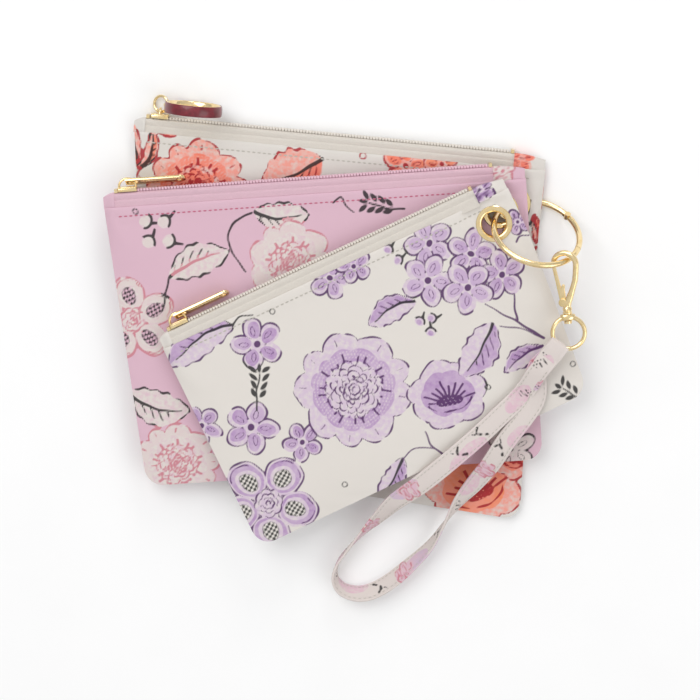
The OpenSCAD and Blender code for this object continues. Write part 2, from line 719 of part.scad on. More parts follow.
grommet(SMALL);  // small_grommet
grommet_washer(SMALL);  // small_grommet_washer
carrier_ring();
ring_gate();
ring_gate_pin();
hook_body();
hook_gate();
hook_gate_pin();
swivel_pin();
swivel_eye();
strap_tack();
strap();
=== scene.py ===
"""Looks of the wristlet wallet: three printed zip pouches on a ring, with a snap hook and a strap."""
import json
import math

import bmesh
import bpy
import numpy as np
from bpy.props import FloatProperty, FloatVectorProperty, PointerProperty
from mathutils import Matrix, Vector


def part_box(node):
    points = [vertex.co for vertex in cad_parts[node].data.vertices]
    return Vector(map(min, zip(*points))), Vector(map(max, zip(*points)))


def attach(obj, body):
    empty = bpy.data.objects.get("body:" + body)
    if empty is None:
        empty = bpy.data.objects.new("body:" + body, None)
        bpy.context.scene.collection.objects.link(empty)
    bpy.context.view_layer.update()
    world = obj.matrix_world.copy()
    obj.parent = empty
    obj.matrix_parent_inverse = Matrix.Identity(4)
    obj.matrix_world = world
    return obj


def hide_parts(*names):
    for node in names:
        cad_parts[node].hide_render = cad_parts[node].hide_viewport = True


bl_info = {
    "name": "Wristlet Wallet",
    "version": (1, 0, 0),
    "blender": (4, 5, 0),
    "location": "3D View > Sidebar > Wallet",
    "description": "Makes the cloth, zips, hardware and strap of a wristlet wallet",
    "category": "Object",
}

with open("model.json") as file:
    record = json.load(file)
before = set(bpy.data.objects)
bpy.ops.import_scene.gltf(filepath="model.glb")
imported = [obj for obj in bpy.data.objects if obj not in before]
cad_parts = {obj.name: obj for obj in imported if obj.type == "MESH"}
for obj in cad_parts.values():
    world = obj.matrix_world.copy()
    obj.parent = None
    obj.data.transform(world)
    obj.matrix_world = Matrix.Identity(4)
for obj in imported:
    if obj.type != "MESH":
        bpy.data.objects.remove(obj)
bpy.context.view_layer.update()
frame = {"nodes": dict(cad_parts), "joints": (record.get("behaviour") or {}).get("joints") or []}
MM = 0.001
TAU = 2 * math.pi
POUCHES = ("large", "medium", "small")


# ---------- settings ----------
def colour(label, text, value):
    return FloatVectorProperty(name=label, description=text, subtype="COLOR_GAMMA", default=value,
                               min=0, max=1)


def length(label, text, value):
    return FloatProperty(name=label, description=text, default=value, min=0, unit="LENGTH")


class WalletSettings(bpy.types.PropertyGroup):
    """Sizes and colours of the wallet's cloth, zips and hardware"""

    small_ground: colour("Small ground", "Ground of the small pouch", (0.885, 0.862, 0.835))
    small_wash: colour("Small wash", "Pale petals of the small pouch", (0.83, 0.745, 0.83))
    small_tone: colour("Small tone", "Deep petals of the small pouch", (0.665, 0.51, 0.72))
    small_accent: colour("Small accent", "Second petal colour of the small pouch", (0.755, 0.64, 0.79))
    small_ink: colour("Small ink", "Lines of the small pouch", (0.30, 0.11, 0.36))
    medium_ground: colour("Medium ground", "Ground of the medium pouch", (0.86, 0.715, 0.775))
    medium_wash: colour("Medium wash", "Pale petals of the medium pouch", (0.875, 0.85, 0.82))
    medium_tone: colour("Medium tone", "Shaded petals of the medium pouch", (0.865, 0.79, 0.79))
    medium_accent: colour("Medium accent", "Second petal colour of the medium pouch", (0.87, 0.775, 0.785))
    medium_ink: colour("Medium ink", "Fine lines of the medium pouch", (0.80, 0.50, 0.55))
    large_ground: colour("Large ground", "Ground of the large pouch", (0.865, 0.845, 0.82))
    large_wash: colour("Large wash", "Pale petals of the large pouch", (0.945, 0.60, 0.54))
    large_tone: colour("Large tone", "Deep petals of the large pouch", (0.94, 0.43, 0.33))
    large_accent: colour("Large accent", "Second petal colour of the large pouch", (0.95, 0.53, 0.33))
    large_ink: colour("Large ink", "Lines of the large pouch", (0.66, 0.05, 0.13))
    strap_ground: colour("Strap ground", "Ground of the strap", (0.87, 0.83, 0.81))
    strap_wash: colour("Strap wash", "Pink patches of the strap", (0.87, 0.73, 0.785))
    strap_tone: colour("Strap tone", "Lavender patches of the strap", (0.80, 0.735, 0.83))
    black_ink: colour("Black ink", "Black leaves and checks", (0.05, 0.045, 0.06))
    ivory_zip: colour("Ivory zip", "Tape of the large and small zips", (0.925, 0.895, 0.855))
    pink_zip: colour("Pink zip", "Tape of the medium zip", (0.93, 0.775, 0.83))
    pink_thread: colour("Pink thread", "Topstitching of the medium pouch", (0.82, 0.45, 0.56))
    ivory_thread: colour("Ivory thread", "Topstitching of the other pouches", (0.80, 0.78, 0.74))
    lining_cloth: colour("Lining", "Lining of the pouches", (0.80, 0.76, 0.74))
    gold: colour("Gold", "Plating of the hardware", (0.98, 0.89, 0.70))
    enamel: colour("Enamel", "Enamel band of the ring pull", (0.40, 0.07, 0.12))
    stitch_pitch: length("Stitch pitch", "Length from one stitch to the next", 2.6 * MM)
    stitch_drop: length("Stitch drop", "From the folded edge down to the topstitch", 4.6 * MM)


def settings():
    return bpy.context.scene.wallet


# ---------- frames read from the CAD ----------
def joint(name):
    return next(j for j in frame["joints"] if j["name"] == name)


def joint_axis(name):
    return Vector(joint(name)["axis"]).normalized()


def joint_place(name):
    return Vector(joint(name)["pos_m"]) / MM


def axes_matrix(x_axis, y_axis, z_axis, origin):
    """Matrix from a local frame in mm to the row frame in mm."""
    m = Matrix((x_axis, y_axis, z_axis)).transposed().to_4x4()
    m.translation = origin
    return m


def node_points(name):
    """A CAD node's vertices, in mm."""
    mesh = frame["nodes"][name].data
    co = np.empty(len(mesh.vertices) * 3)
    mesh.vertices.foreach_get("co", co)
    return co.reshape(-1, 3) / MM


def local_box(name, to_row):
    """Lowest and highest corner of a CAD node in a local frame, in mm."""
    m = np.array(to_row.inverted())
    co = node_points(name) @ m[:3, :3].T + m[:3, 3]
    return co.min(0), co.max(0)


class Pouch:
    """Sizes and place of one pouch. Its own frame: +x along the zip, +y to the zip, z from the mid plane."""

    def __init__(self, name):
        self.name = name
        axis = joint_axis(name + "_zip")
        self.turn = math.atan2(axis.y, axis.x)
        turned = Matrix.Rotation(self.turn, 4, "Z")
        front_hi = local_box(name + "_front_panel", turned)[1]
        back_lo = local_box(name + "_back_panel", turned)[0]
        tape_lo, tape_hi = local_box(name + "_zip_tape_front", turned)
        self.half = (front_hi[2] - back_lo[2]) / 2
        self.w = tape_hi[0] - tape_lo[0] + ZIP_LEAD + ZIP_TAIL
        self.h = HEIGHT[name]
        self.creep = CREEP[name]
        middle = (tape_lo[0] - ZIP_LEAD + self.w / 2, tape_hi[1] - self.h / 2, back_lo[2] + self.half)
        self.to_row = turned @ Matrix.Translation(middle)
        self.fold = front_hi[1] - middle[1]
        self.zip_from = tape_lo[0] - middle[0]
        self.zip_to = tape_hi[0] - middle[0]
        ring_lo, ring_hi = local_box(name + "_grommet", self.to_row)
        self.grommet = ((ring_lo[0] + ring_hi[0]) / 2, (ring_lo[1] + ring_hi[1]) / 2)
        self.flange_r = (ring_hi[0] - ring_lo[0]) / 2
        self.lift = (ring_hi[2] + ring_lo[2]) / 2
        self.ear = ring_hi[2] - self.lift - FLANGE_T
        self.body = name + "_pouch"

    def crept(self, x, y):
        """Where the cloth at x, y has moved to: the bottom corners have crept out of square."""
        (lx, ly), (rx, ry) = self.creep
        share = np.clip(x / self.w + 0.5, 0, 1)
        left = np.clip(0.5 - y / self.h, 0, 1) * (1 - share)
        start = self.grommet[1] - 12
        right = np.clip((start - y) / (start + self.h / 2), 0, 1) * share
        return x + left * lx + right * rx, y + left * ly + right * ry


# Heights of the pouches, and how far their bottom left and right corners have crept, in mm
HEIGHT = {"large": 176, "medium": 148, "small": 118}
CREEP = {"large": ((21, 4), (6, -8)), "medium": ((10, 0), (0, 0)), "small": ((0, 0), (-6.5, 2))}
# From the zip down to the middle of the print, in mm
PRINT_DROP = {"large": 88, "medium": 71.5, "small": 56}
ZIP_LEAD, ZIP_TAIL = 6, 16      # lengths of the pouch's edge before and after the zip tapes
FLANGE_T = 0.55                 # thickness of a grommet's flange
TAB_TIP, TAB_LIFT = 26, 1.4     # a flat tab tips to the front by these degrees and rises in its crown
SEAM_HALF = 0.88                # half thickness at the side seams
CORNER_R = 9
PANEL_T = 0.75
SLOPE = 26                      # width over which the cloth swells from a seam


def smooth(t):
    """Eases from 0 to 1."""
    t = np.clip(t, 0, 1)
    return t * t * (3 - 2 * t)


def rise(distance, slope):
    """Swell of the cloth at a distance from a seam, from 0 to 1."""
    return 1 - (1 - np.clip(distance / slope, 0, 1)) ** 2.4


def run_length(points):
    """Distance along a line of points, at each of them."""
    return np.r_[0, np.cumsum(np.linalg.norm(np.diff(points, axis=0), axis=1))]


# ---------- mesh helpers ----------
def verts_array(bm):
    return np.array([v.co for v in bm.verts])


def set_verts(bm, co):
    for v, place in zip(bm.verts, co):
        v.co = place


def grid(nx, ny, shape):
    """A grid whose vertices go where shape(u, v) says, with u and v from -1 to 1."""
    bm = bmesh.new()
    bmesh.ops.create_grid(bm, x_segments=nx, y_segments=ny, size=1)
    co = verts_array(bm)
    set_verts(bm, np.stack(shape(co[:, 0], co[:, 1]), axis=1))
    return bm


def block(bm, lo, hi, width, segments=2):
    """A box with rounded edges."""
    centre = (Vector(lo) + Vector(hi)) / 2
    scale = Matrix.Diagonal((*(Vector(hi) - Vector(lo)), 1))
    made = bmesh.ops.create_cube(bm, size=1, matrix=Matrix.Translation(centre) @ scale)
    edges = list({e for v in made["verts"] for e in v.link_edges})
    bmesh.ops.bevel(bm, geom=edges, offset=width, segments=segments, profile=0.5, affect="EDGES", material=-1)


def lathe(bm, profile, turn=TAU, start=0.0, steps=96):
    """Spins a closed outline of (radius, height) points about z."""
    verts = [bm.verts.new((r * math.cos(start), r * math.sin(start), z)) for r, z in profile]
    edges = [bm.edges.new((verts[i - 1], verts[i])) for i in range(len(verts))]
    full = abs(turn - TAU) < 1e-6
    geom = verts + edges
    if not full:
        cap = bm.faces.new(verts)
        geom = verts + edges + [cap]
    bmesh.ops.spin(bm, geom=geom, cent=(0, 0, 0), axis=(0, 0, 1), dvec=(0, 0, 0),
                   angle=turn, steps=steps, use_merge=full, use_duplicate=False)
    bmesh.ops.remove_doubles(bm, verts=bm.verts[:], dist=1e-4)
    bmesh.ops.recalc_face_normals(bm, faces=bm.faces[:])


def sweep(points, section, around, wide_axes, rings):
    """A closed tube along points: section(s, angle) gives (across, up) at a share s of the way."""
    points = np.array(points, float)
    steps = run_length(points)
    share = steps / steps[-1]
    wide_axes = np.array(wide_axes, float)

    def at(values, s):
        return np.stack([np.interp(s, share, values[:, k]) for k in range(3)], axis=1)

    def shape(u, v):
        s = (u + 1) / 2
        angle = (v + 1) * math.pi
        centre = at(points, s)
        ahead = at(points, np.clip(s + 0.002, 0, 1)) - at(points, np.clip(s - 0.002, 0, 1))
        ahead /= np.linalg.norm(ahead, axis=1)[:, None]
        wide = at(wide_axes, s)
        wide -= ahead * np.sum(wide * ahead, axis=1)[:, None]
        wide /= np.linalg.norm(wide, axis=1)[:, None]
        up = np.cross(wide, ahead)
        across, lift = section(s, angle)
        place = centre + wide * across[:, None] + up * lift[:, None]
        return place[:, 0], place[:, 1], place[:, 2]

    bm = grid(rings, around, shape)
    bmesh.ops.remove_doubles(bm, verts=bm.verts[:], dist=1e-4)
    bmesh.ops.holes_fill(bm, edges=[e for e in bm.edges if e.is_boundary], sides=0)
    bmesh.ops.recalc_face_normals(bm, faces=bm.faces[:])
    return bm


def arc(cx, cy, r, start, end, n=12):
    """Points on an arc, angles in degrees."""
    turns = [math.radians(start + (end - start) * i / n) for i in range(n + 1)]
    return [(cx + r * math.cos(a), cy + r * math.sin(a)) for a in turns]


def plate(loops, thick, bevel):
    """A flat plate with rounded edges, from closed outlines in the xy plane; inner outlines are holes."""
    curve = bpy.data.curves.new("plate", "CURVE")
    curve.dimensions = "2D"
    curve.fill_mode = "BOTH"
    curve.extrude = thick / 2 - bevel
    curve.bevel_depth = bevel
    curve.bevel_resolution = 2
    curve.offset = -bevel
    for loop in loops:
        spline = curve.splines.new("POLY")
        spline.points.add(len(loop) - 1)
        for point, place in zip(spline.points, loop):
            point.co = (*place, 0, 1)
        spline.use_cyclic_u = True
    holder = bpy.data.objects.new("plate", curve)
    bpy.context.scene.collection.objects.link(holder)
    bpy.context.view_layer.update()
    mesh = bpy.data.meshes.new_from_object(holder.evaluated_get(bpy.context.evaluated_depsgraph_get()))
    bpy.data.objects.remove(holder)
    bpy.data.curves.remove(curve)
    bm = bmesh.new()
    bm.from_mesh(mesh)
    bpy.data.meshes.remove(mesh)
    bmesh.ops.remove_doubles(bm, verts=bm.verts[:], dist=1e-4)
    bmesh.ops.recalc_face_normals(bm, faces=bm.faces[:])
    return bm


def join(bm, other, at=None):
    """Adds other's faces to bm, moved by at."""
    if at is not None:
        bmesh.ops.transform(other, matrix=at, verts=other.verts[:])
    mesh = bpy.data.meshes.new("part")
    other.to_mesh(mesh)
    bm.from_mesh(mesh)
    bpy.data.meshes.remove(mesh)
    other.free()


def piece(name, bm, to_row, body, material, nodes=(), sharp=0.75):
    """Makes an object of bm, in mm in its own frame, and puts it on its body."""
    bmesh.ops.transform(bm, matrix=Matrix.Scale(MM, 4) @ to_row, verts=bm.verts[:])
    for face in bm.faces:
        face.smooth = True
    for edge in bm.edges:
        if len(edge.link_faces) == 2 and edge.calc_face_angle(0) > sharp:
            edge.smooth = False
    mesh = bpy.data.meshes.new(name)
    bm.to_mesh(mesh)
    bm.free()
    mesh.materials.append(material)
    made = bpy.data.objects.new(name, mesh)
    bpy.context.scene.collection.objects.link(made)
    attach(made, body)
    if nodes:
        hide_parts(*nodes)
    return made


# ---------- printed cloth ----------
class Print:
    """Layers of a hand-drawn print at given points. Each is a distance in mm, below zero inside."""

    def __init__(self, x, y, pen):
        self.x = x + 0.35 * np.sin(0.23 * y + 1) + 0.18 * np.sin(0.71 * y)
        self.y = y + 0.35 * np.sin(0.21 * x) + 0.18 * np.sin(0.67 * x + 2)
        self.pen = pen
        self.wash, self.tone, self.ink = (np.full(len(x), 9.0) for _ in range(3))
        self.hue = np.zeros(len(x))
        self.dark = np.zeros(len(x))

    def near(self, cx, cy, reach, turn=0.0):
        """Points near a place, measured from it and turned."""
        i = np.nonzero((abs(self.x - cx) < reach) & (abs(self.y - cy) < reach))[0]
        x, y = self.x[i] - cx, self.y[i] - cy
        c, s = math.cos(turn), math.sin(turn)
        return i, x * c + y * s, -x * s + y * c

    def lay(self, i, cover=None, wash=None, tone=None, ink=None, hue=0.0, dark=0.0):
        """Clears what is under cover, and adds shapes to the layers."""
        if cover is not None:
            for layer in (self.wash, self.tone, self.ink):
                layer[i] = np.maximum(layer[i], -cover)
        for layer, shape in ((self.wash, wash), (self.tone, tone)):
            if shape is not None:
                layer[i] = np.minimum(layer[i], shape)
                self.hue[i[shape < 1.5]] = hue
        if ink is not None:
            self.dark[i[ink < 1.5]] = dark
            self.ink[i] = np.minimum(self.ink[i], ink)

    def line(self, distance, along, phase, weight=1.0):
        """A brush line: swells and breaks along its length."""
        swell = 0.9 + 0.3 * np.sin(along * 0.55 + phase)
        gap = np.clip(np.sin(along * 0.31 + phase * 1.7) - 0.86, 0, 1) * 6
        return np.abs(distance) - self.pen * weight * swell + gap


def oval(x, y, a, b):
    """Rough distance to an ellipse."""
    k = np.hypot(x / a, y / b)
    return (k - 1) * np.minimum(np.hypot(x, y) / np.maximum(k, 1e-6), max(a, b))


def scallop(rho, theta, r, lobes, depth):
    """Distance to a ring of lobes."""
    return rho - r * (1 - depth + depth * np.abs(np.cos(lobes * theta / 2)) ** 0.7)


def rays(rho, theta, n, start, end, wide):
    """Short strokes that point away from a centre; their lengths vary."""
    k = np.round(theta * n / TAU)
    off = np.abs(rho * np.sin(theta - k * TAU / n))
    reach = end * (0.88 + 0.12 * np.sin(k * 2.3))
    return np.maximum(off - wide, np.maximum(start - rho, rho - reach))


def stroke(x, y, points, first, last):
    """Distance to a line through points, which thins from first to last."""
    best = np.full(len(x), 9.0)
    count = len(points) - 1
    for k in range(count):
        (ax, ay), (bx, by) = points[k], points[k + 1]
        dx, dy = bx - ax, by - ay
        t = np.clip(((x - ax) * dx + (y - ay) * dy) / (dx * dx + dy * dy), 0, 1)
        wide = first + (last - first) * (k + t) / count
        best = np.minimum(best, np.hypot(x - ax - t * dx, y - ay - t * dy) - wide)
    return best


def daisy(pr, cx, cy, r, turn=0.0, deep=0.55, hue=0.0, dark=0.0, petals=5):
    """Round petals with a loop in each, and a dark eye."""
    i, x, y = pr.near(cx, cy, r * 1.2, turn)
    rho, theta = np.hypot(x, y), np.arctan2(y, x)
    k = np.round(theta * petals / TAU)
    psi = theta - k * TAU / petals
    px, py = rho * np.cos(psi), rho * np.sin(psi)
    petal = oval(px - 0.61 * r, py, 0.4 * r, (0.36 if petals == 5 else 0.3) * r)
    body = np.minimum(petal, rho - 0.3 * r)
    shade = oval(px - deep * r, py + 0.05 * r, 0.33 * r, 0.24 * r)
    loop = np.abs(oval(px - 0.52 * r, py, 0.18 * r, 0.075 * r)) - pr.pen * 0.55
    edge = np.maximum(pr.line(petal, psi * rho + k * 9, cx), 0.3 * r - rho)
    pr.lay(i, cover=body, wash=body, tone=np.maximum(shade, body), hue=hue,
           ink=np.minimum(edge, np.minimum(loop, rho - 0.13 * r)), dark=dark)


def peony(pr, cx, cy, r, turn=0.0, hue=0.0, dark=0.0, lobes=9, flat=False, core=0.0):
    """Scalloped rings round a tight heart."""
    i, x, y = pr.near(cx, cy, r * 1.1, turn)
    rho, theta = np.hypot(x, y), np.arctan2(y, x)
    wobble = theta + 0.12 * np.sin(3 * theta)
    outer = scallop(rho, wobble, r, lobes, 0.17)
    band = scallop(rho, wobble + 0.3, 0.72 * r, lobes + 2, 0.08)
    frill = scallop(rho, wobble, 0.5 * r, 13, 0.14)
    ink = pr.line(outer, theta * rho, cx)
    ink = np.minimum(ink, np.maximum(pr.line(np.sin(wobble * lobes / 2) * rho * 2 / lobes, rho, cy, 0.8),
                                     np.maximum(0.78 * r - rho, rho - 0.9 * r)))
    for share, count in ((0.5, 13), (0.41, 12), (0.32, 11), (0.24, 9), (0.17, 7), (0.1, 6), (0.04, 5)):
        ring = scallop(rho, wobble + share * 9, share * r, count, 0.2)
        ink = np.minimum(ink, pr.line(ring, theta * rho + share * 40, share * 20, 0.85))
    ink = np.minimum(ink, rays(rho, theta, 26, 0.47 * r, 0.64 * r, pr.pen * 1.1))
    ink = np.minimum(ink, rays(rho, theta + 0.2, 14, 0.15 * r, 0.25 * r, pr.pen * 0.6))
    tone = np.maximum(band, -frill)
    row = np.round(rho / (0.055 * r))
    count = np.maximum(np.round(row * 6), 1)
    cell = theta * count / TAU + row * 0.5
    pip = np.hypot((cell - np.round(cell)) * TAU / count * rho, rho - row * 0.055 * r) - 0.016 * r
    tone = np.maximum(tone, -np.maximum(pip, np.maximum(0.52 * r - rho, rho - 0.67 * r)))
    if flat:
        tone = np.maximum(outer + 0.1 * r, -band)
    if core:
        spots = scallop(rho, theta, core * r, 9, 0.3)
        gaps = 0.35 - np.hypot(np.mod(x, 2.1) - 1.05, np.mod(y, 2.1) - 1.05)
        ink = np.minimum(ink, np.maximum(spots, gaps))
        tone = np.minimum(tone, scallop(rho, wobble, 0.42 * r, 9, 0.2))
    pr.lay(i, cover=outer, wash=outer, tone=tone, ink=ink, hue=hue, dark=dark)


def poppy(pr, cx, cy, r, turn=0.0, hue=0.0, dark=0.0):
    """An open flower seen from the side, with a dark spotted heart."""
    i, x, y = pr.near(cx, cy, r * 1.25, turn)
    y = y * 1.12
    rho, theta = np.hypot(x, y), np.arctan2(y, x)
    outer = scallop(rho, theta + 0.1 * np.sin(2 * theta), r * (1 + 0.04 * np.sin(5 * theta)), 7, 0.12)
    cup = scallop(np.hypot(x, y - 0.02 * r), theta, 0.68 * r, 6, 0.12)
    heart = oval(x, y + 0.2 * r, 0.34 * r, 0.17 * r)
    low_rho, low_theta = np.hypot(x, y + 0.3 * r), np.arctan2(y + 0.3 * r, x)
    stamens = np.maximum(rays(low_rho, low_theta, 22, 0.2 * r, 0.72 * r, pr.pen * 1.2), -(y + 0.2 * r))
    lip = np.maximum(pr.line(oval(x, y + 0.12 * r, 0.56 * r, 0.4 * r), x, 2.0), y + 0.2 * r)
    spots = np.hypot(np.mod(x + 0.3 * y, 2.2) - 1.1, np.mod(y, 1.9) - 0.95) - 0.42
    ink = np.minimum(np.maximum(heart, -spots), np.minimum(stamens, lip))
    ink = np.minimum(ink, pr.line(outer, theta * rho, cy))
    pr.lay(i, cover=outer, wash=outer, tone=cup, ink=ink, hue=hue, dark=dark)


def checks(x, y, size):
    """Lattice of small diamonds, negative inside them."""
    a, b = (x + y) / size, (x - y) / size
    return -np.sin(a * math.pi) * np.sin(b * math.pi) * size * 0.3 - 0.02


def checker_flower(pr, cx, cy, r, turn=0.0, hue=0.0, dark=0.0):
    """Five big petals with a chequered window in each, round a rosette."""
    i, x, y = pr.near(cx, cy, r * 1.15, turn)
    rho, theta = np.hypot(x, y), np.arctan2(y, x)
    k = np.round(theta * 5 / TAU)
    psi = theta - k * TAU / 5
    px, py = rho * np.cos(psi), rho * np.sin(psi)
    petal = oval(px - 0.62 * r, py, 0.4 * r, 0.37 * r)
    body = np.minimum(petal, rho - 0.3 * r)
    shade = np.maximum(petal + 0.05 * r, -oval(px - 0.58 * r, py, 0.26 * r, 0.24 * r))
    window = oval(px - 0.57 * r, py, 0.2 * r, 0.155 * r)
    edge = np.maximum(pr.line(petal, psi * rho + k * 13, cx), 0.3 * r - rho)
    edge = np.minimum(edge, np.maximum(pr.line(petal + 0.07 * r, psi * rho + k * 5, cy, 0.7), 0.8 * r - rho))
    ink = np.minimum(edge, np.abs(window) - pr.pen * 0.6)
    pr.lay(i, cover=body, wash=body, tone=shade, ink=ink, hue=hue, dark=dark)
    pr.lay(i, cover=window, ink=np.maximum(window, checks(x, y, 1.9)), dark=1.0)
    heart = scallop(rho, theta, 0.29 * r, 8, 0.14)
    lines = pr.line(heart, theta * rho, 1.0, 0.9)
    for share, count in ((0.2, 7), (0.12, 6), (0.05, 5)):
        ring = scallop(rho, theta + share * 8, share * r, count, 0.2)
        lines = np.minimum(lines, pr.line(ring, theta * rho, share * 30, 0.8))
    pr.lay(i, cover=heart, wash=heart, ink=lines, hue=hue, dark=dark)


def leaf(pr, x0, y0, x1, y1, wide, side=1, hue=0.0, dark=0.0, vein_dark=0.0, shaded=True):
    """A ragged leaf from its stalk to its tip, shaded on one side of the midrib."""
    size = math.hypot(x1 - x0, y1 - y0)
    i, x, y = pr.near((x0 + x1) / 2, (y0 + y1) / 2, size * 0.75, math.atan2(y1 - y0, x1 - x0))
    s = x / size + 0.5
    y = y - 0.08 * size * np.sin(np.clip(s, 0, 1) * math.pi) * side
    half = wide * np.sin(np.clip(s, 0, 1) * math.pi) ** 0.7 * (1 + 0.06 * np.sin(s * 33))
    body = np.maximum(np.abs(y) - half, np.maximum(-s, s - 1) * size)
    rib = np.maximum(np.abs(y + 0.5 * np.sin(s * 5)) - pr.pen * (1.7 - 1.2 * s),
                     np.maximum(-s, s - 0.88) * size)
    phase = (x - np.abs(y) * 0.9) * 7 / size
    veins = np.abs(phase - np.round(phase)) * size / 7 * 0.75 - pr.pen * 0.75
    veins = np.maximum(veins, np.maximum(np.abs(y) - 0.62 * half, -side * y + 0.8))
    veins = np.maximum(veins, np.maximum(0.12 - s, s - 0.72) * size)
    tone = np.maximum(body + 0.8, -side * y) if shaded else None
    ink = np.minimum(pr.line(body, x, x0), veins)
    pr.lay(i, cover=body, wash=body, tone=tone, ink=ink, hue=hue, dark=dark)
    pr.lay(i, ink=rib, dark=vein_dark)


def sprig(pr, x0, y0, x1, y1, size, dark=1.0, pairs=3):
    """A stalk with small pointed leaves."""
    span = math.hypot(x1 - x0, y1 - y0)
    i, x, y = pr.near((x0 + x1) / 2, (y0 + y1) / 2, span * 0.6 + size * 2, math.atan2(y1 - y0, x1 - x0))
    ink = stroke(x, y, [(-span / 2, 0), (0, span * 0.05), (span / 2, 0)], pr.pen, pr.pen * 0.8)
    for k in range(pairs):
        at = span * (0.5 - 0.9 * k / pairs)
        for side in (-1, 1):
            turn = side * (0.9 - 0.12 * k)
            cx, cy = at - span * 0.02 * k, side * 0.2
            c, s = math.cos(turn), math.sin(turn)
            lx, ly = (x - cx) * c + (y - cy) * s - size * 0.75, -(x - cx) * s + (y - cy) * c
            ink = np.minimum(ink, np.hypot(lx * 0.3, ly) + 0.16 * np.abs(lx) - size * 0.22)
    past = x - span / 2 - size * 0.6
    tip = np.hypot(past * 0.3, y) + 0.16 * np.abs(past) - size * 0.2
    pr.lay(i, ink=np.minimum(ink, tip), dark=dark)


def stem(pr, points, wide=0.5, dark=0.0):
    """A curved stalk through points."""
    cx = sum(p[0] for p in points) / len(points)
    cy = sum(p[1] for p in points) / len(points)
    reach = max(max(abs(p[0] - cx), abs(p[1] - cy)) for p in points) + 3
    i, x, y = pr.near(cx, cy, reach)
    points = catmull(points, 5).tolist()
    pr.lay(i, ink=stroke(x + cx, y + cy, points, wide + pr.pen * 0.4, pr.pen * 0.8), dark=dark)


def dot(pr, cx, cy, r=1.3, dark=1.0):
    """A small open ring."""
    i, x, y = pr.near(cx, cy, r + 3)
    pr.lay(i, ink=np.abs(np.hypot(x, y) - r) - pr.pen * 0.65, dark=dark)


def bud(pr, cx, cy, r, turn, hue=0.0):
    """A round bud in a black cup."""
    i, x, y = pr.near(cx, cy, r * 2.4, turn)
    ball = np.hypot(x, y) - r
    cup = np.maximum(np.abs(np.hypot(x + 0.2 * r, y) - r * 1.05) - pr.pen * 1.1, -x - 0.1 * r)
    pr.lay(i, cover=ball, wash=ball, tone=np.hypot(x + 0.3 * r, y) - 0.55 * r, hue=hue)
    pr.lay(i, ink=np.minimum(cup, stroke(x, y, [(r, 0), (2 * r, 0.4 * r)], pr.pen * 1.5, pr.pen)), dark=1.0)


def speckle(pr, cx, cy, a, b, turn=0.0, step=1.7):
    """A patch of small black dots."""
    i, x, y = pr.near(cx, cy, max(a, b) * 1.2, turn)
    row = np.round(y / step)
    spots = np.hypot(np.mod(x + row * step * 0.5, step) - step / 2, y - row * step) - 0.45
    pr.lay(i, ink=np.maximum(oval(x, y, a, b), spots), dark=1.0)


def draw_small(pr):
    """Lavender flowers on ivory."""
    for cx, cy, r, turn in ((47, 41, 12.5, 0.3), (64, 28, 12, 1.0), (73, 12, 12, 0.1), (39, 25, 13, 0.7),
                            (55, 13, 13, 0.5), (-4, 46, 11, 0.9), (9, 47, 9, 0.2)):
        daisy(pr, cx, cy, r, turn, deep=0.5, hue=1.0 if r > 12 else 0.4)
    for cx, cy, r, turn in ((-50, 32, 13, 0.25), (-93, 6, 10.5, 0.5), (-71, -5, 13.5, 0.75),
                            (-51, -22, 10, 0.4)):
        daisy(pr, cx, cy, r, turn, hue=0.0)
    peony(pr, -17, -9, 29)
    poppy(pr, 24, -31, 19.5, -0.2)
    checker_flower(pr, -80, -43, 25, 0.6)
    leaf(pr, -57, 46, -95, 40, 8.5, side=-1, vein_dark=1.0)
    leaf(pr, 29, 18, 3, 17, 6.5, side=-1, vein_dark=1.0)
    leaf(pr, 59, -8, 34, -25, 9, side=1, vein_dark=1.0)
    leaf(pr, 77, -29, 54, -33, 5, side=-1)
    leaf(pr, -9, -51, -29, -63, 5.5, side=1, vein_dark=1.0)
    sprig(pr, -64, 2, -56, 18, 5.2, pairs=4)
    sprig(pr, 84, -64, 77, -53, 5)
    stem(pr, [(79, -26), (73, -17), (66, -7), (60, 2)], 0.5)
    stem(pr, [(70, -12), (72, -5), (75, 1)], 0.4)
    stem(pr, [(79, -26), (70, -16), (61, -11)], 0.2)
    stem(pr, [(9, -57), (6, -50), (6, -43)], 0.4)
    stem(pr, [(7, -53), (-1, -49), (-8, -51)], 0.2)
    stem(pr, [(-57, 46), (-52, 48), (-46, 46)], 0.3, dark=1.0)
    for cx, cy, turn in ((28, 47, 0.3), (30, 40, 0.2), (27, 8, 0.5), (33, 7, -0.2), (30, 1, 1.1)):
        bud(pr, cx, cy, 2.4, turn)
    for cx, cy in ((-37, 43), (43, -36), (-41, -51), (86, -44)):
        dot(pr, cx, cy)
    daisy(pr, 91, 32, 6.5, 0.4)
    stem(pr, [(86, 23), (89, 25), (93, 24)], 0.3)


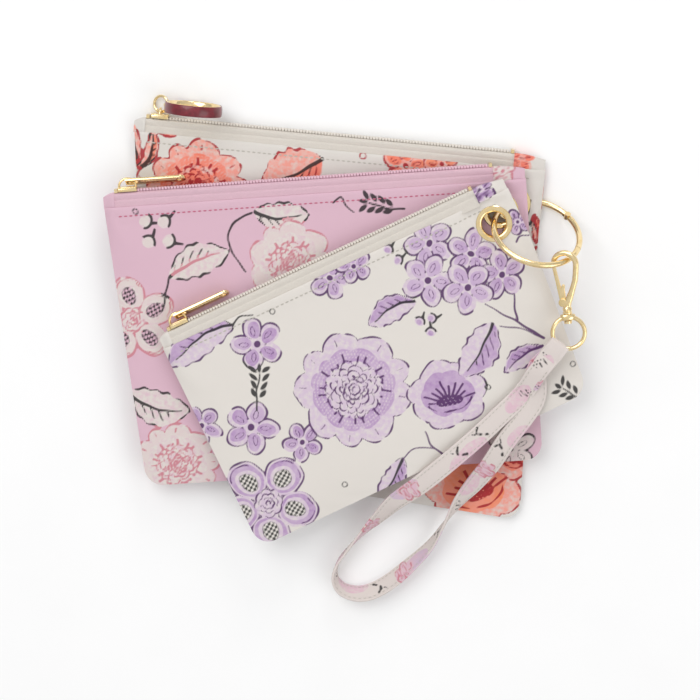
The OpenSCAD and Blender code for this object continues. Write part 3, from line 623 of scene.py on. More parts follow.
def draw_medium(pr):
    """Ivory flowers on pink."""
    leaf(pr, -30, 58, -3, 54, 7.5, side=-1, dark=1.0, vein_dark=1.0)
    leaf(pr, -74, 28, -44, 39, 8, side=1, dark=1.0, shaded=False)
    leaf(pr, -100, -29, -70, -40, 9, side=-1, dark=1.0, vein_dark=1.0, shaded=False)
    peony(pr, -14, 31, 21, hue=1.0, flat=True)
    peony(pr, -78, -66, 21, hue=1.0, flat=True)
    peony(pr, 30, -30, 24, hue=0.5, flat=True)
    checker_flower(pr, -94, 8, 21, 0.4, hue=0.5)
    checker_flower(pr, 60, -10, 20, 0.2, hue=0.5)
    daisy(pr, 88, -70, 13, 0.4, hue=1.0, dark=1.0, petals=6)
    daisy(pr, -20, -40, 13, 0.2, hue=1.0, dark=1.0)
    daisy(pr, 62, 40, 12, 0.7, hue=0.3, dark=1.0)
    poppy(pr, -30, -5, 16, 0.4, hue=0.6, dark=1.0)
    sprig(pr, 44, 54, 27, 58, 5.5, pairs=4)
    sprig(pr, 10, -5, 18, 8, 5)
    for cx, cy, turn in ((-83, 57, -0.4), (-74, 56, 0.5), (-83, 47, 0.8), (-73, 46, -0.5)):
        bud(pr, cx, cy, 3.3, turn)
    stem(pr, [(-31, 57), (-41, 52), (-44, 42), (-36, 28)], 0.35, dark=1.0)
    stem(pr, [(-74, 28), (-77, 20), (-79, 12)], 0.3, dark=1.0)
    stem(pr, [(9, 60), (13, 62), (15, 58), (19, 54)], 0.3, dark=1.0)
    stem(pr, [(91, 40), (95, 30), (93, 18)], 0.3, dark=1.0)
    for cx, cy in ((-88, 62), (0, -60), (50, -55), (80, 20)):
        dot(pr, cx, cy)


def draw_large(pr):
    """Coral flowers on grey ivory."""
    peony(pr, -68, 55, 25, 0.2, hue=0.2, lobes=10, core=0.22)
    leaf(pr, -8, 76, -36, 63, 13, side=1, vein_dark=1.0)
    daisy(pr, 33, 77, 11, 0.3, hue=0.3)
    daisy(pr, 51, 79, 9, 0.6, hue=1.0)
    leaf(pr, 58, 78, 76, 74, 5, side=-1, hue=0.6)
    leaf(pr, -97, 62, -101, 84, 3.4, side=1, hue=0.7, vein_dark=1.0)
    leaf(pr, -97, 62, -91, 83, 3.2, side=-1, hue=0.3, vein_dark=1.0)
    leaf(pr, -94, 84, -80, 81, 2.6, side=1, hue=0.3)
    poppy(pr, 84, -80, 25, 0.5, hue=1.0)
    poppy(pr, 101, -62, 14, -0.6, hue=0.3)
    poppy(pr, 20, -50, 22, 0.2, hue=0.6)
    peony(pr, -40, -30, 28, hue=0.4)
    peony(pr, 40, 20, 24, 0.6, hue=0.4)
    daisy(pr, -84, -60, 14, 0.2)
    daisy(pr, -20, 25, 12, 0.8)
    leaf(pr, -70, -70, -45, -78, 8, side=1, vein_dark=1.0)
    leaf(pr, 0, -10, 22, -4, 8, side=-1, hue=0.5, vein_dark=1.0)
    leaf(pr, 99, 59, 101, 45, 2.6, hue=0.2)
    stem(pr, [(101, 43), (99, 36), (101, 28), (100, 20)], 0.6)
    stem(pr, [(-97, 62), (-99, 54), (-97, 46)], 0.3)
    sprig(pr, -60, 0, -50, 10, 5)
    sprig(pr, 96, 66, 95, 56, 3.5, pairs=1)
    for cx, cy in ((-97, 57), (-88, 52), (12, 80), (-37, 83), (92, 0)):
        dot(pr, cx, cy, 1.6, dark=0.0)


DRAW = {"small": draw_small, "medium": draw_medium, "large": draw_large}


def draw_back(pr):
    """An all-over repeat of the same flowers for the side that lies down."""
    step = 44
    for row in range(-3, 4):
        for column in range(-4, 5):
            cx, cy = column * step + (row % 2) * step / 2 + 4, row * step * 0.86
            kind = (row * 2 + column * 3) % 5
            if kind == 0:
                peony(pr, cx, cy, 17, column, hue=0.3)
            elif kind == 1:
                daisy(pr, cx, cy, 12, row)
                sprig(pr, cx + 14, cy - 6, cx + 20, cy + 6, 5)
            elif kind == 2:
                checker_flower(pr, cx, cy, 15, row)
            elif kind == 3:
                leaf(pr, cx - 12, cy - 5, cx + 12, cy + 5, 7, side=1, hue=0.5, vein_dark=1.0)
            else:
                poppy(pr, cx, cy, 14, 0.3 * column, hue=0.6)


def write_print(made, pr):
    """Stores the print's layers on the mesh for the cloth material."""
    for name in ("wash", "tone", "ink", "hue", "dark"):
        layer = made.data.attributes.new(name, "FLOAT", "POINT")
        layer.data.foreach_set("value", np.asarray(getattr(pr, name), np.float32))


def local_verts(made, to_row):
    """Vertices of an object in a local frame, in mm."""
    co = np.empty(len(made.data.vertices) * 3)
    made.data.vertices.foreach_get("co", co)
    m = np.array(to_row.inverted())
    return (co.reshape(-1, 3) / MM) @ m[:3, :3].T + m[:3, 3]


# ---------- materials ----------
def srgb(rgb):
    """Linear colour of a screen colour, with alpha."""
    return (*(c / 12.92 if c <= 0.04045 else ((c + 0.055) / 1.055) ** 2.4 for c in rgb), 1.0)


def add(tree, kind, inputs=(), **options):
    made = tree.nodes.new(kind)
    for key, value in options.items():
        setattr(made, key, value)
    for key, value in dict(inputs).items():
        if isinstance(value, bpy.types.NodeSocket):
            tree.links.new(value, made.inputs[key])
        else:
            made.inputs[key].default_value = value
    return made


def math_node(tree, operation, a, b=0.0):
    return add(tree, "ShaderNodeMath", {0: a, 1: b}, operation=operation).outputs[0]


def mix_colour(tree, factor, a, b, blend="MIX"):
    made = add(tree, "ShaderNodeMix", {0: factor, 6: a, 7: b}, data_type="RGBA", blend_type=blend)
    return made.outputs[2]


def ramp(tree, value, low, high, to_low=0.0, to_high=1.0):
    made = add(tree, "ShaderNodeMapRange", {"Value": value, "From Min": low, "From Max": high,
                                            "To Min": to_low, "To Max": to_high}, clamp=True)
    return made.outputs["Result"]


def object_mm(tree, turn=None):
    """Object coordinates in mm, turned about z."""
    coords = add(tree, "ShaderNodeTexCoord").outputs["Object"]
    inputs = {"Vector": coords, "Scale": (1 / MM,) * 3}
    if turn is not None:
        inputs["Rotation"] = add(tree, "ShaderNodeCombineXYZ", {"Z": turn}).outputs[0]
    return add(tree, "ShaderNodeMapping", inputs).outputs[0]


def group(name, inputs, outputs):
    """An empty shader group with named sockets: returns it with its input and output nodes."""
    tree = bpy.data.node_groups.new(name, "ShaderNodeTree")
    for label, kind, value in inputs:
        socket = tree.interface.new_socket(label, in_out="INPUT", socket_type=kind)
        socket.default_value = value
    for label, kind in outputs:
        tree.interface.new_socket(label, in_out="OUTPUT", socket_type=kind)
    return tree, tree.nodes.new("NodeGroupInput").outputs, tree.nodes.new("NodeGroupOutput").inputs


FLOAT, COLOUR = "NodeSocketFloat", "NodeSocketColor"


def weave_group():
    """Crossing threads with slubs, and soft shading where the cloth was pressed."""
    tree, given, made = group("Weave", [("Pitch", FLOAT, 0.5), ("Turn", FLOAT, 0.0), ("Slub", FLOAT, 0.4)],
                              [("Height", FLOAT), ("Shade", FLOAT)])
    place = object_mm(tree, math_node(tree, "MULTIPLY", given["Turn"], -1.0))
    split = add(tree, "ShaderNodeSeparateXYZ", {0: place})
    turns = math_node(tree, "DIVIDE", TAU, given["Pitch"])
    warp = math_node(tree, "SINE", math_node(tree, "MULTIPLY", split.outputs[0], turns))
    weft = math_node(tree, "SINE", math_node(tree, "MULTIPLY", split.outputs[1], turns))
    cross = math_node(tree, "MULTIPLY", warp, weft)
    slub = add(tree, "ShaderNodeTexNoise", {"Vector": place, "Scale": 0.9, "Detail": 3.0}).outputs[0]
    height = math_node(tree, "ADD", cross, math_node(tree, "MULTIPLY", slub, given["Slub"]))
    tree.links.new(height, made["Height"])
    soft = add(tree, "ShaderNodeTexNoise", {"Vector": place, "Scale": 0.045, "Detail": 2.0}).outputs[0]
    tree.links.new(ramp(tree, soft, 0.3, 0.7), made["Shade"])
    return tree


def print_group():
    """Colour of the printed cloth from the layers on the mesh."""
    names = ("Ground", "Wash", "Tone", "Accent", "Ink", "Black")
    inputs = [(n, COLOUR, (1, 1, 1, 1)) for n in names] + [("Soft", FLOAT, 0.22)]
    tree, given, made = group("Hand print", inputs, [("Color", COLOUR), ("Ink mask", FLOAT)])

    def layer(name):
        return add(tree, "ShaderNodeAttribute", attribute_name=name).outputs["Fac"]

    hard = math_node(tree, "MULTIPLY", given["Soft"], -1.0)
    masks = [ramp(tree, layer(n), given["Soft"], hard) for n in ("wash", "tone", "ink")]
    place = object_mm(tree)
    pool = add(tree, "ShaderNodeTexNoise", {"Vector": place, "Scale": 0.11, "Detail": 3.0}).outputs[0]
    pool = ramp(tree, pool, 0.32, 0.68)
    hue = layer("hue")
    tone = mix_colour(tree, hue, given["Tone"], given["Accent"])
    streak = add(tree, "ShaderNodeTexNoise", {"Vector": place, "Scale": 0.45, "Detail": 4.0}).outputs[0]
    tone = mix_colour(tree, math_node(tree, "MULTIPLY", pool, 0.6), tone, given["Wash"])
    tone = mix_colour(tree, ramp(tree, streak, 0.35, 0.7, 0.0, 0.45), tone, given["Wash"])
    wash = mix_colour(tree, ramp(tree, streak, 0.4, 0.7, 0.1, 0.75), given["Wash"], given["Ground"])
    ink = mix_colour(tree, ramp(tree, layer("dark"), 0.45, 0.55), given["Ink"], given["Black"])
    result = mix_colour(tree, masks[0], given["Ground"], wash)
    result = mix_colour(tree, math_node(tree, "MULTIPLY", masks[1], 0.92), result, tone)
    result = mix_colour(tree, math_node(tree, "MULTIPLY", masks[2], 0.93), result, ink)
    tree.links.new(result, made["Color"])
    tree.links.new(masks[2], made["Ink mask"])
    return tree


def polish_group():
    """Fine rub marks and smudges on metal and enamel."""
    tree, given, made = group("Polish", [("Base", FLOAT, 0.15), ("Spread", FLOAT, 0.12)],
                              [("Roughness", FLOAT), ("Height", FLOAT), ("Rub", FLOAT)])
    place = object_mm(tree)
    smudge = add(tree, "ShaderNodeTexNoise", {"Vector": place, "Scale": 0.35, "Detail": 4.0}).outputs[0]
    fine = add(tree, "ShaderNodeTexNoise", {"Vector": place, "Scale": 6.0, "Detail": 2.0}).outputs[0]
    rub = ramp(tree, smudge, 0.4, 0.75)
    rough = math_node(tree, "MULTIPLY", rub, given["Spread"])
    tree.links.new(math_node(tree, "ADD", rough, given["Base"]), made["Roughness"])
    tree.links.new(fine, made["Height"])
    tree.links.new(rub, made["Rub"])
    return tree


def shared(name, make):
    return bpy.data.node_groups.get(name) or make()


def use_group(tree, group_tree, inputs):
    made = add(tree, "ShaderNodeGroup", node_tree=group_tree)
    for key, value in inputs.items():
        made.inputs[key].default_value = value
    return made.outputs


def material(name):
    """A material with a shader in it: returns it, its tree and the shader."""
    made = bpy.data.materials.new(name)
    made.use_nodes = True
    return made, made.node_tree, made.node_tree.nodes["Principled BSDF"]


def bump(tree, shader, height, strength, distance):
    made = add(tree, "ShaderNodeBump", {"Strength": strength, "Distance": distance, "Height": height})
    tree.links.new(made.outputs[0], shader.inputs["Normal"])


def cloth_material(name, colours, turn=0.0, soft=0.22):
    """Printed cotton: ground, wash, tone, accent and ink."""
    made, tree, shader = material(name)
    colours = dict(zip(("Ground", "Wash", "Tone", "Accent", "Ink"), map(srgb, colours)))
    colours["Black"] = srgb(settings().black_ink)
    drawn = use_group(tree, shared("Hand print", print_group), {**colours, "Soft": soft})
    weave = use_group(tree, shared("Weave", weave_group), {"Pitch": 0.42, "Turn": turn, "Slub": 0.5})
    faded = mix_colour(tree, 0.07, drawn["Color"], srgb((1, 1, 1)))
    shaded = mix_colour(tree, ramp(tree, weave["Shade"], 0, 1, 0.0, 0.12), drawn["Color"], faded)
    # painted shade: the colour is mixed up to 5% towards a dark grey where the weave's threads dip, in the
    # valleys between them
    pressed = mix_colour(tree, ramp(tree, weave["Height"], -1, 1, 0.05, 0.0), shaded, srgb((0.45, 0.4, 0.42)))
    tree.links.new(pressed, shader.inputs["Base Color"])
    tree.links.new(ramp(tree, weave["Height"], -1, 1, 0.86, 0.72), shader.inputs["Roughness"])
    shader.inputs["Sheen Weight"].default_value = 0.12
    shader.inputs["Specular IOR Level"].default_value = 0.3
    bump(tree, shader, weave["Height"], 0.35, 0.00012)
    return made


def plain_cloth_material(name, rgb, pitch, turn=0.0, depth=0.4):
    """Undyed or dyed cloth without a print: zip tape, lining and thread."""
    made, tree, shader = material(name)
    weave = use_group(tree, shared("Weave", weave_group), {"Pitch": pitch, "Turn": turn, "Slub": 0.7})
    # painted shade: the base colour falls to 86% of rgb where the weave's threads dip and is full rgb on
    # their tops, shade painted into the valleys between threads
    low = srgb(tuple(c * 0.86 for c in rgb))
    height = ramp(tree, weave["Height"], -1, 1.2)
    tree.links.new(mix_colour(tree, height, low, srgb(rgb)), shader.inputs["Base Color"])
    tree.links.new(ramp(tree, weave["Shade"], 0, 1, 0.7, 0.85), shader.inputs["Roughness"])
    shader.inputs["Sheen Weight"].default_value = 0.15
    bump(tree, shader, weave["Height"], depth, 0.0002)
    return made


def gold_material(name, base=0.13, spread=0.14):
    made, tree, shader = material(name)
    polish = use_group(tree, shared("Polish", polish_group), {"Base": base, "Spread": spread})
    rgb = settings().gold
    rubbed = srgb((rgb[0] * 0.97, rgb[1] * 0.94, rgb[2] * 0.86))
    tree.links.new(mix_colour(tree, polish["Rub"], srgb(rgb), rubbed), shader.inputs["Base Color"])
    tree.links.new(polish["Roughness"], shader.inputs["Roughness"])
    shader.inputs["Metallic"].default_value = 1.0
    bump(tree, shader, polish["Height"], 0.04, 0.00005)
    return made


def enamel_material(name):
    made, tree, shader = material(name)
    polish = use_group(tree, shared("Polish", polish_group), {"Base": 0.28, "Spread": 0.2})
    rgb = settings().enamel
    worn = srgb(tuple(min(c * 1.35, 1) for c in rgb))
    tree.links.new(mix_colour(tree, polish["Rub"], srgb(rgb), worn), shader.inputs["Base Color"])
    tree.links.new(polish["Roughness"], shader.inputs["Roughness"])
    shader.inputs["Coat Weight"].default_value = 0.4
    shader.inputs["Coat Roughness"].default_value = 0.12
    bump(tree, shader, polish["Height"], 0.05, 0.0001)
    return made


def kept(name, make, *values):
    """A material that is made once and used by several pieces."""
    return bpy.data.materials.get(name) or make(name, *values)


def gold():
    return kept("Pale gold plating", gold_material)


# ---------- cloth of the pouches ----------
# Creases: start, end, width and height in mm, in the pouch's own frame
CREASES = {
    "large": [((84, 52), (80, -40), 5, -0.9), ((95, 50), (93, -60), 3.5, 0.3), ((89, 50), (87, -50), 3, 0.3),
              ((98, 40), (99, -80), 2.5, -0.5), ((60, 84), (84, 76), 5, -0.5),
              ((-60, 80), (-20, 88), 6, -0.3), ((60, -70), (95, -84), 6, 0.3),
              ((-100, 40), (-92, -60), 5, -0.3)],
    "medium": [((87, 38), (80, -30), 4, -0.8), ((93, 38), (94, -40), 3, 0.3), ((70, 55), (80, 50), 4, -0.5),
               ((-96, 50), (-80, -10), 8, -0.4), ((-90, -20), (-70, -60), 9, 0.3),
               ((-40, 62), (-30, 40), 8, -0.25), ((60, -60), (96, -50), 6, -0.5),
               ((78, -70), (96, -64), 4, 0.3)],
    "small": [((80, 22), (70, -30), 6, -0.35), ((88, 24), (90, -20), 4, 0.3), ((60, 30), (-20, 38), 9, -0.25),
              ((-84, 44), (-70, 10), 7, -0.35), ((-30, 40), (-60, -40), 12, 0.2),
              ((86, -20), (60, -50), 7, 0.25), ((66, 40), (74, 38), 4, -0.4),
              ((-92, -20), (-60, -50), 7, -0.3)],
}


def surface(pouch, x, y, side, depth=0.0, detail=True):
    """Height of a pouch's cloth from its mid plane, on the front (1) or the back (-1)."""
    near_zip = smooth((y - (pouch.fold - 42)) / 34)
    left = rise(x + pouch.w / 2, SLOPE + (pouch.zip_from + pouch.w / 2 - SLOPE) * near_zip)
    right = rise(pouch.w / 2 - x, SLOPE + (pouch.w / 2 - pouch.zip_to - SLOPE) * near_zip)
    low = rise(y + pouch.h / 2, SLOPE)
    full = pouch.half - 0.12
    z = SEAM_HALF + (full - 0.35 - SEAM_HALF) * left * right * low
    z += 0.35 * smooth((y - (pouch.fold - 9)) / 6) * left * right
    if detail:
        inner = smooth(np.minimum(np.minimum(x + pouch.w / 2, pouch.w / 2 - x), y + pouch.h / 2) / 5)
        for (ax, ay), (bx, by), wide, high in CREASES[pouch.name]:
            dx, dy = bx - ax, by - ay
            t = np.clip(((x - ax) * dx + (y - ay) * dy) / (dx * dx + dy * dy), 0, 1)
            off = np.hypot(x - ax - t * dx, y - ay - t * dy)
            ends = np.sin(np.clip(t, 0.04, 0.96) * math.pi)
            z += high * np.exp(-(off / wide) ** 2) * ends * inner
        seam = np.exp(-np.minimum(np.minimum(x + pouch.w / 2, pouch.w / 2 - x), y + pouch.h / 2) / 7)
        z += 0.16 * seam * inner * np.sin((x + y) * 0.42 + 1.3 * np.sin(x * 0.11))
        stitch = pouch.fold - settings().stitch_drop / MM
        z -= 0.16 * np.exp(-((y - stitch) / 0.9) ** 2) * left * right
        gather = np.sin(x * 0.62 + 2 * np.sin(x * 0.05))
        z += 0.09 * np.exp(-np.abs(y - stitch + 2) / 5) * gather * left * right
        z -= 0.5 * smooth((y - (pouch.fold - 0.9)) / 0.9)
    z = np.minimum(z, pouch.half - 0.05) - depth
    rho = np.hypot(x - pouch.grommet[0], y - pouch.grommet[1])
    theta = np.arctan2(y - pouch.grommet[1], x - pouch.grommet[0])
    pucker = 1 + 0.10 * np.sin(theta * 7 + 0.5) * smooth((rho - pouch.flange_r) / 3)
    ear = 1 - smooth((rho * pucker - pouch.flange_r - 0.6) / (9 if detail else 11))
    ear = ear * smooth((pouch.w / 2 - x) / 3 + 0.2)
    foot = pouch.lift + side * (pouch.ear - 0.06 - depth)
    return side * z * (1 - ear) + foot * ear


def panel(pouch, side, step):
    """One printed panel: a shell with a rounded outline and the seam allowance turned in."""
    nx, ny = round(pouch.w / step), round((pouch.fold + pouch.h / 2) / step)
    lift = (pouch.fold - pouch.h / 2) / 2
    bm = grid(nx, ny, lambda u, v: (u * pouch.w / 2, lift + v * (pouch.fold + pouch.h / 2) / 2, 0 * u))
    inner_x, inner_y = pouch.w / 2 - CORNER_R, -pouch.h / 2 + CORNER_R

    def past(co):
        return math.hypot(max(abs(co.x) - inner_x, 0), max(inner_y - co.y, 0)) if co.y < inner_y else 0.0

    gone = [f for f in bm.faces if past(f.calc_center_median()) > CORNER_R + 0.25 * step]
    bmesh.ops.delete(bm, geom=gone, context="FACES")
    for v in bm.verts:
        if v.is_boundary and v.co.y < inner_y and abs(v.co.x) > inner_x:
            off = Vector((abs(v.co.x) - inner_x, v.co.y - inner_y))
            off = off.normalized() * CORNER_R
            v.co.x, v.co.y = math.copysign(inner_x + off.x, v.co.x), inner_y + off.y
    hole = pouch.flange_r - 1.2
    centre = Vector((*pouch.grommet, 0))
    gone = [f for f in bm.faces if (f.calc_center_median() - centre).length < hole]
    bmesh.ops.delete(bm, geom=gone, context="FACES")
    co = verts_array(bm)
    co[:, 2] = surface(pouch, co[:, 0], co[:, 1], side)
    co[:, 0], co[:, 1] = pouch.crept(co[:, 0], co[:, 1])
    set_verts(bm, co)
    bmesh.ops.recalc_face_normals(bm, faces=bm.faces[:])
    if (bm.faces[0].normal.z > 0) != (side > 0):
        bmesh.ops.reverse_faces(bm, faces=bm.faces[:])
    bmesh.ops.solidify(bm, geom=bm.faces[:], thickness=PANEL_T)
    return bm


def pouch_colours(name):
    s = settings()
    return [getattr(s, f"{name}_{part}") for part in ("ground", "wash", "tone", "accent", "ink")]


def cloth(pouch):
    name = f"{pouch.name.capitalize()} printed cotton"
    return kept(name, cloth_material, pouch_colours(pouch.name), pouch.turn)


# Spacing of a printed panel's vertices, on each front and on the backs, in mm
STEPS = {"large": 0.86, "medium": 0.8, "small": 0.65}
BACK_STEP = 1.5


class WALLET_OT_panels(bpy.types.Operator):
    """Make the printed panels and the linings of the three pouches"""

    bl_idname = "wallet.panels"
    bl_label = "Panels"

    def execute(self, context):
        for name in POUCHES:
            pouch = Pouch(name)
            for side, word in ((1, "front"), (-1, "back")):
                step = STEPS[name] if side > 0 else BACK_STEP
                bm = panel(pouch, side, step)
                node = f"{name}_{word}_panel"
                made = piece(node + "_cloth", bm, pouch.to_row, pouch.body, cloth(pouch),
                             [node])
                co = local_verts(made, pouch.to_row)
                pr = Print(co[:, 0], co[:, 1] - pouch.h / 2 + PRINT_DROP[name], 0.72 * step)
                if side > 0:
                    DRAW[name](pr)
                else:
                    draw_back(pr)
                write_print(made, pr)
            self.lining(pouch)
        return {"FINISHED"}

    def lining(self, pouch):
        """Both sides of the lining, a little inside the panels."""
        bm = bmesh.new()
        wide, low, high = pouch.w / 2 - 5, -pouch.h / 2 + 5, pouch.fold - 5.5
        for side in (1, -1):
            def shape(u, v):
                x, y = u * wide, (low + high) / 2 + v * (high - low) / 2
                return *pouch.crept(x, y), surface(pouch, x, y, side, 1.15, detail=False)
            half = grid(60, 50, shape)
            hole = pouch.flange_r + 1.5
            centre = Vector((*pouch.grommet, 0))
            gone = [f for f in half.faces if (f.calc_center_median().xy - centre.xy).length < hole]
            bmesh.ops.delete(half, geom=gone, context="FACES")
            if side < 0:
                bmesh.ops.reverse_faces(half, faces=half.faces[:])
            bmesh.ops.solidify(half, geom=half.faces[:], thickness=0.3)
            join(bm, half)
        lined = kept("Woven lining", plain_cloth_material, settings().lining_cloth, 0.6)
        node = pouch.name + "_lining"
        piece(node + "_cloth", bm, pouch.to_row, pouch.body, lined, [node])


# ---------- zips ----------
def tape_profile(s):
    """Place and height of the folded tape, from under the panel (s = 0) to the coil (s = 1)."""
    stations = [0, 0.2, 0.45, 0.55, 0.66, 0.8, 0.9, 0.96, 1]
    y = np.interp(s, stations, [-9, -7, -4.4, -3.5, -2.8, -1.6, -0.5, -0.05, -0.05])
    z = np.interp(s, stations, [2.7, 2.72, 2.8, 2.52, 2.8, 3.02, 2.8, 1.9, 0.45])
    return y, z


class WALLET_OT_zips(bpy.types.Operator):
    """Make the zip tapes, coils, end tabs and topstitching"""

    bl_idname = "wallet.zips"
    bl_label = "Zips"

    def execute(self, context):
        for name in POUCHES:
            pouch = Pouch(name)
            pink = name == "medium"
            rgb = settings().pink_zip if pink else settings().ivory_zip
            self.slot = "zip_pink" if pink else "zip_ivory"
            title = f"{name.capitalize()} zip tape"
            self.tape_cloth = kept(title, plain_cloth_material, rgb, 0.7, pouch.turn, 0.6)
            self.tapes(pouch)
            self.coil(pouch, rgb)
            self.end_tabs(pouch)
            self.stitches(pouch)
            frame["nodes"][name + "_zip_stops"].data.materials[0] = gold()
        return {"FINISHED"}

    def tapes(self, pouch):
        """The two zip tapes, each folded up from under its panel."""
        middle, span = (pouch.zip_from + pouch.zip_to) / 2, (pouch.zip_to - pouch.zip_from) / 2
        top = pouch.h / 2
        for side, word in ((1, "front"), (-1, "back")):
            def shape(u, v):
                x = middle + u * span
                y, z = tape_profile((v + 1) / 2)
                return x, top + y, side * (z + 0.05 * np.sin(x * 0.19) * (z > 2.5))
            bm = grid(200, 40, shape)
            bmesh.ops.smooth_vert(bm, verts=[v for v in bm.verts if not v.is_boundary], factor=0.5,
                                  use_axis_x=True, use_axis_y=True, use_axis_z=True)
            if side < 0:
                bmesh.ops.reverse_faces(bm, faces=bm.faces[:])
            bmesh.ops.solidify(bm, geom=bm.faces[:], thickness=0.35)
            node = f"{pouch.name}_zip_tape_{word}"
            piece(node + "_cloth", bm, pouch.to_row, pouch.body, self.tape_cloth, [node])

    def coil(self, pouch, rgb):
        """Teeth of the zip, which step past each other."""
        lo, hi = local_box(pouch.name + "_zip_coil", pouch.to_row)
        pitch = 1.5
        count = int((hi[0] - lo[0]) / pitch)
        bm = bmesh.new()
        for k in range(count):
            x = lo[0] + pitch * (k + 0.5)
            for side in (-1, 1):
                inner, outer = 0.2 * side, hi[2] * side
                shift = 0.25 * side
                block(bm, (x - 0.62 + shift, lo[1], min(inner, outer)),
                      (x + 0.62 + shift, hi[1], max(inner, outer)), 0.3, 1)
        nylon = kept(f"{pouch.name.capitalize()} zip coil", plain_cloth_material, rgb, 0.3, pouch.turn, 0.15)
        node = pouch.name + "_zip_coil"
        piece(node + "_teeth", bm, pouch.to_row, pouch.body, nylon, [node])

    def end_tabs(self, pouch):
        """Folded printed cloth over each end of the zip."""
        bm = bmesh.new()
        for inner, seam in ((pouch.zip_from, -pouch.w / 2 + 0.4), (pouch.zip_to, pouch.w / 2 - 0.4)):
            end = bmesh.new()
            bmesh.ops.create_cube(end, size=2)
            bmesh.ops.subdivide_edges(end, edges=end.edges[:], cuts=9, use_grid_fill=True)
            co = verts_array(end)
            t = (co[:, 0] + 1) / 2
            round_off = 1 - 0.16 * smooth(np.abs(co[:, 1]) * 2 - 1) * (np.abs(co[:, 2]) > 0.9)
            thick = (pouch.half - 0.3) * (1 - smooth(t)) + SEAM_HALF * smooth(t)
            x = inner + (seam - inner) * t
            y = pouch.fold - 0.5 + (co[:, 1] + 1) / 2 * (pouch.h / 2 - pouch.fold + 0.4 - 1.9 * t * t)
            z = co[:, 2] * thick * round_off + 0.12 * np.sin(x * 1.1) * (np.abs(co[:, 2]) > 0.9)
            set_verts(end, np.stack([x, y, z], axis=1))
            bmesh.ops.recalc_face_normals(end, faces=end.faces[:])
            join(bm, end)
        node = pouch.name + "_end_tabs"
        made = piece(node + "_cloth", bm, pouch.to_row, pouch.body, cloth(pouch),
                     [node])
        co = local_verts(made, pouch.to_row)
        drop = PRINT_DROP[pouch.name]
        pr = Print(co[:, 0], co[:, 1] - pouch.h / 2 + drop, 0.5)
        DRAW[pouch.name](pr)
        daisy(pr, pouch.zip_to + 4, drop - 2, 7, 0.4)
        write_print(made, pr)

    def stitches(self, pouch):
        """A row of topstitches below the folded edge, on both sides."""
        s = settings()
        pitch, y = s.stitch_pitch / MM, pouch.fold - s.stitch_drop / MM
        span = pouch.w - 14
        bm = bmesh.new()
        count = int(span / pitch)
        x = -span / 2 + pitch * (np.arange(count) + 0.5)
        for side in (1, -1):
            level = np.full(count, y)
            z = surface(pouch, x, level, side)
            slope = surface(pouch, x + 0.5, level, side) - surface(pouch, x - 0.5, level, side)
            for k in range(count):
                tilt = Matrix.Rotation(-math.atan(slope[k]), 4, "Y")
                place = Matrix.Translation((x[k], y, z[k] + side * 0.08)) @ tilt
                shape = Matrix.Diagonal((pitch * 0.38, 0.4, 0.26, 1))
                bmesh.ops.create_icosphere(bm, subdivisions=1, radius=1, matrix=place @ shape)
        rgb = s.pink_thread if pouch.name == "medium" else s.ivory_thread
        thread = kept(f"{pouch.name.capitalize()} thread", plain_cloth_material, rgb, 0.35)
        piece(pouch.name + "_topstitch", bm, pouch.to_row, pouch.body, thread)


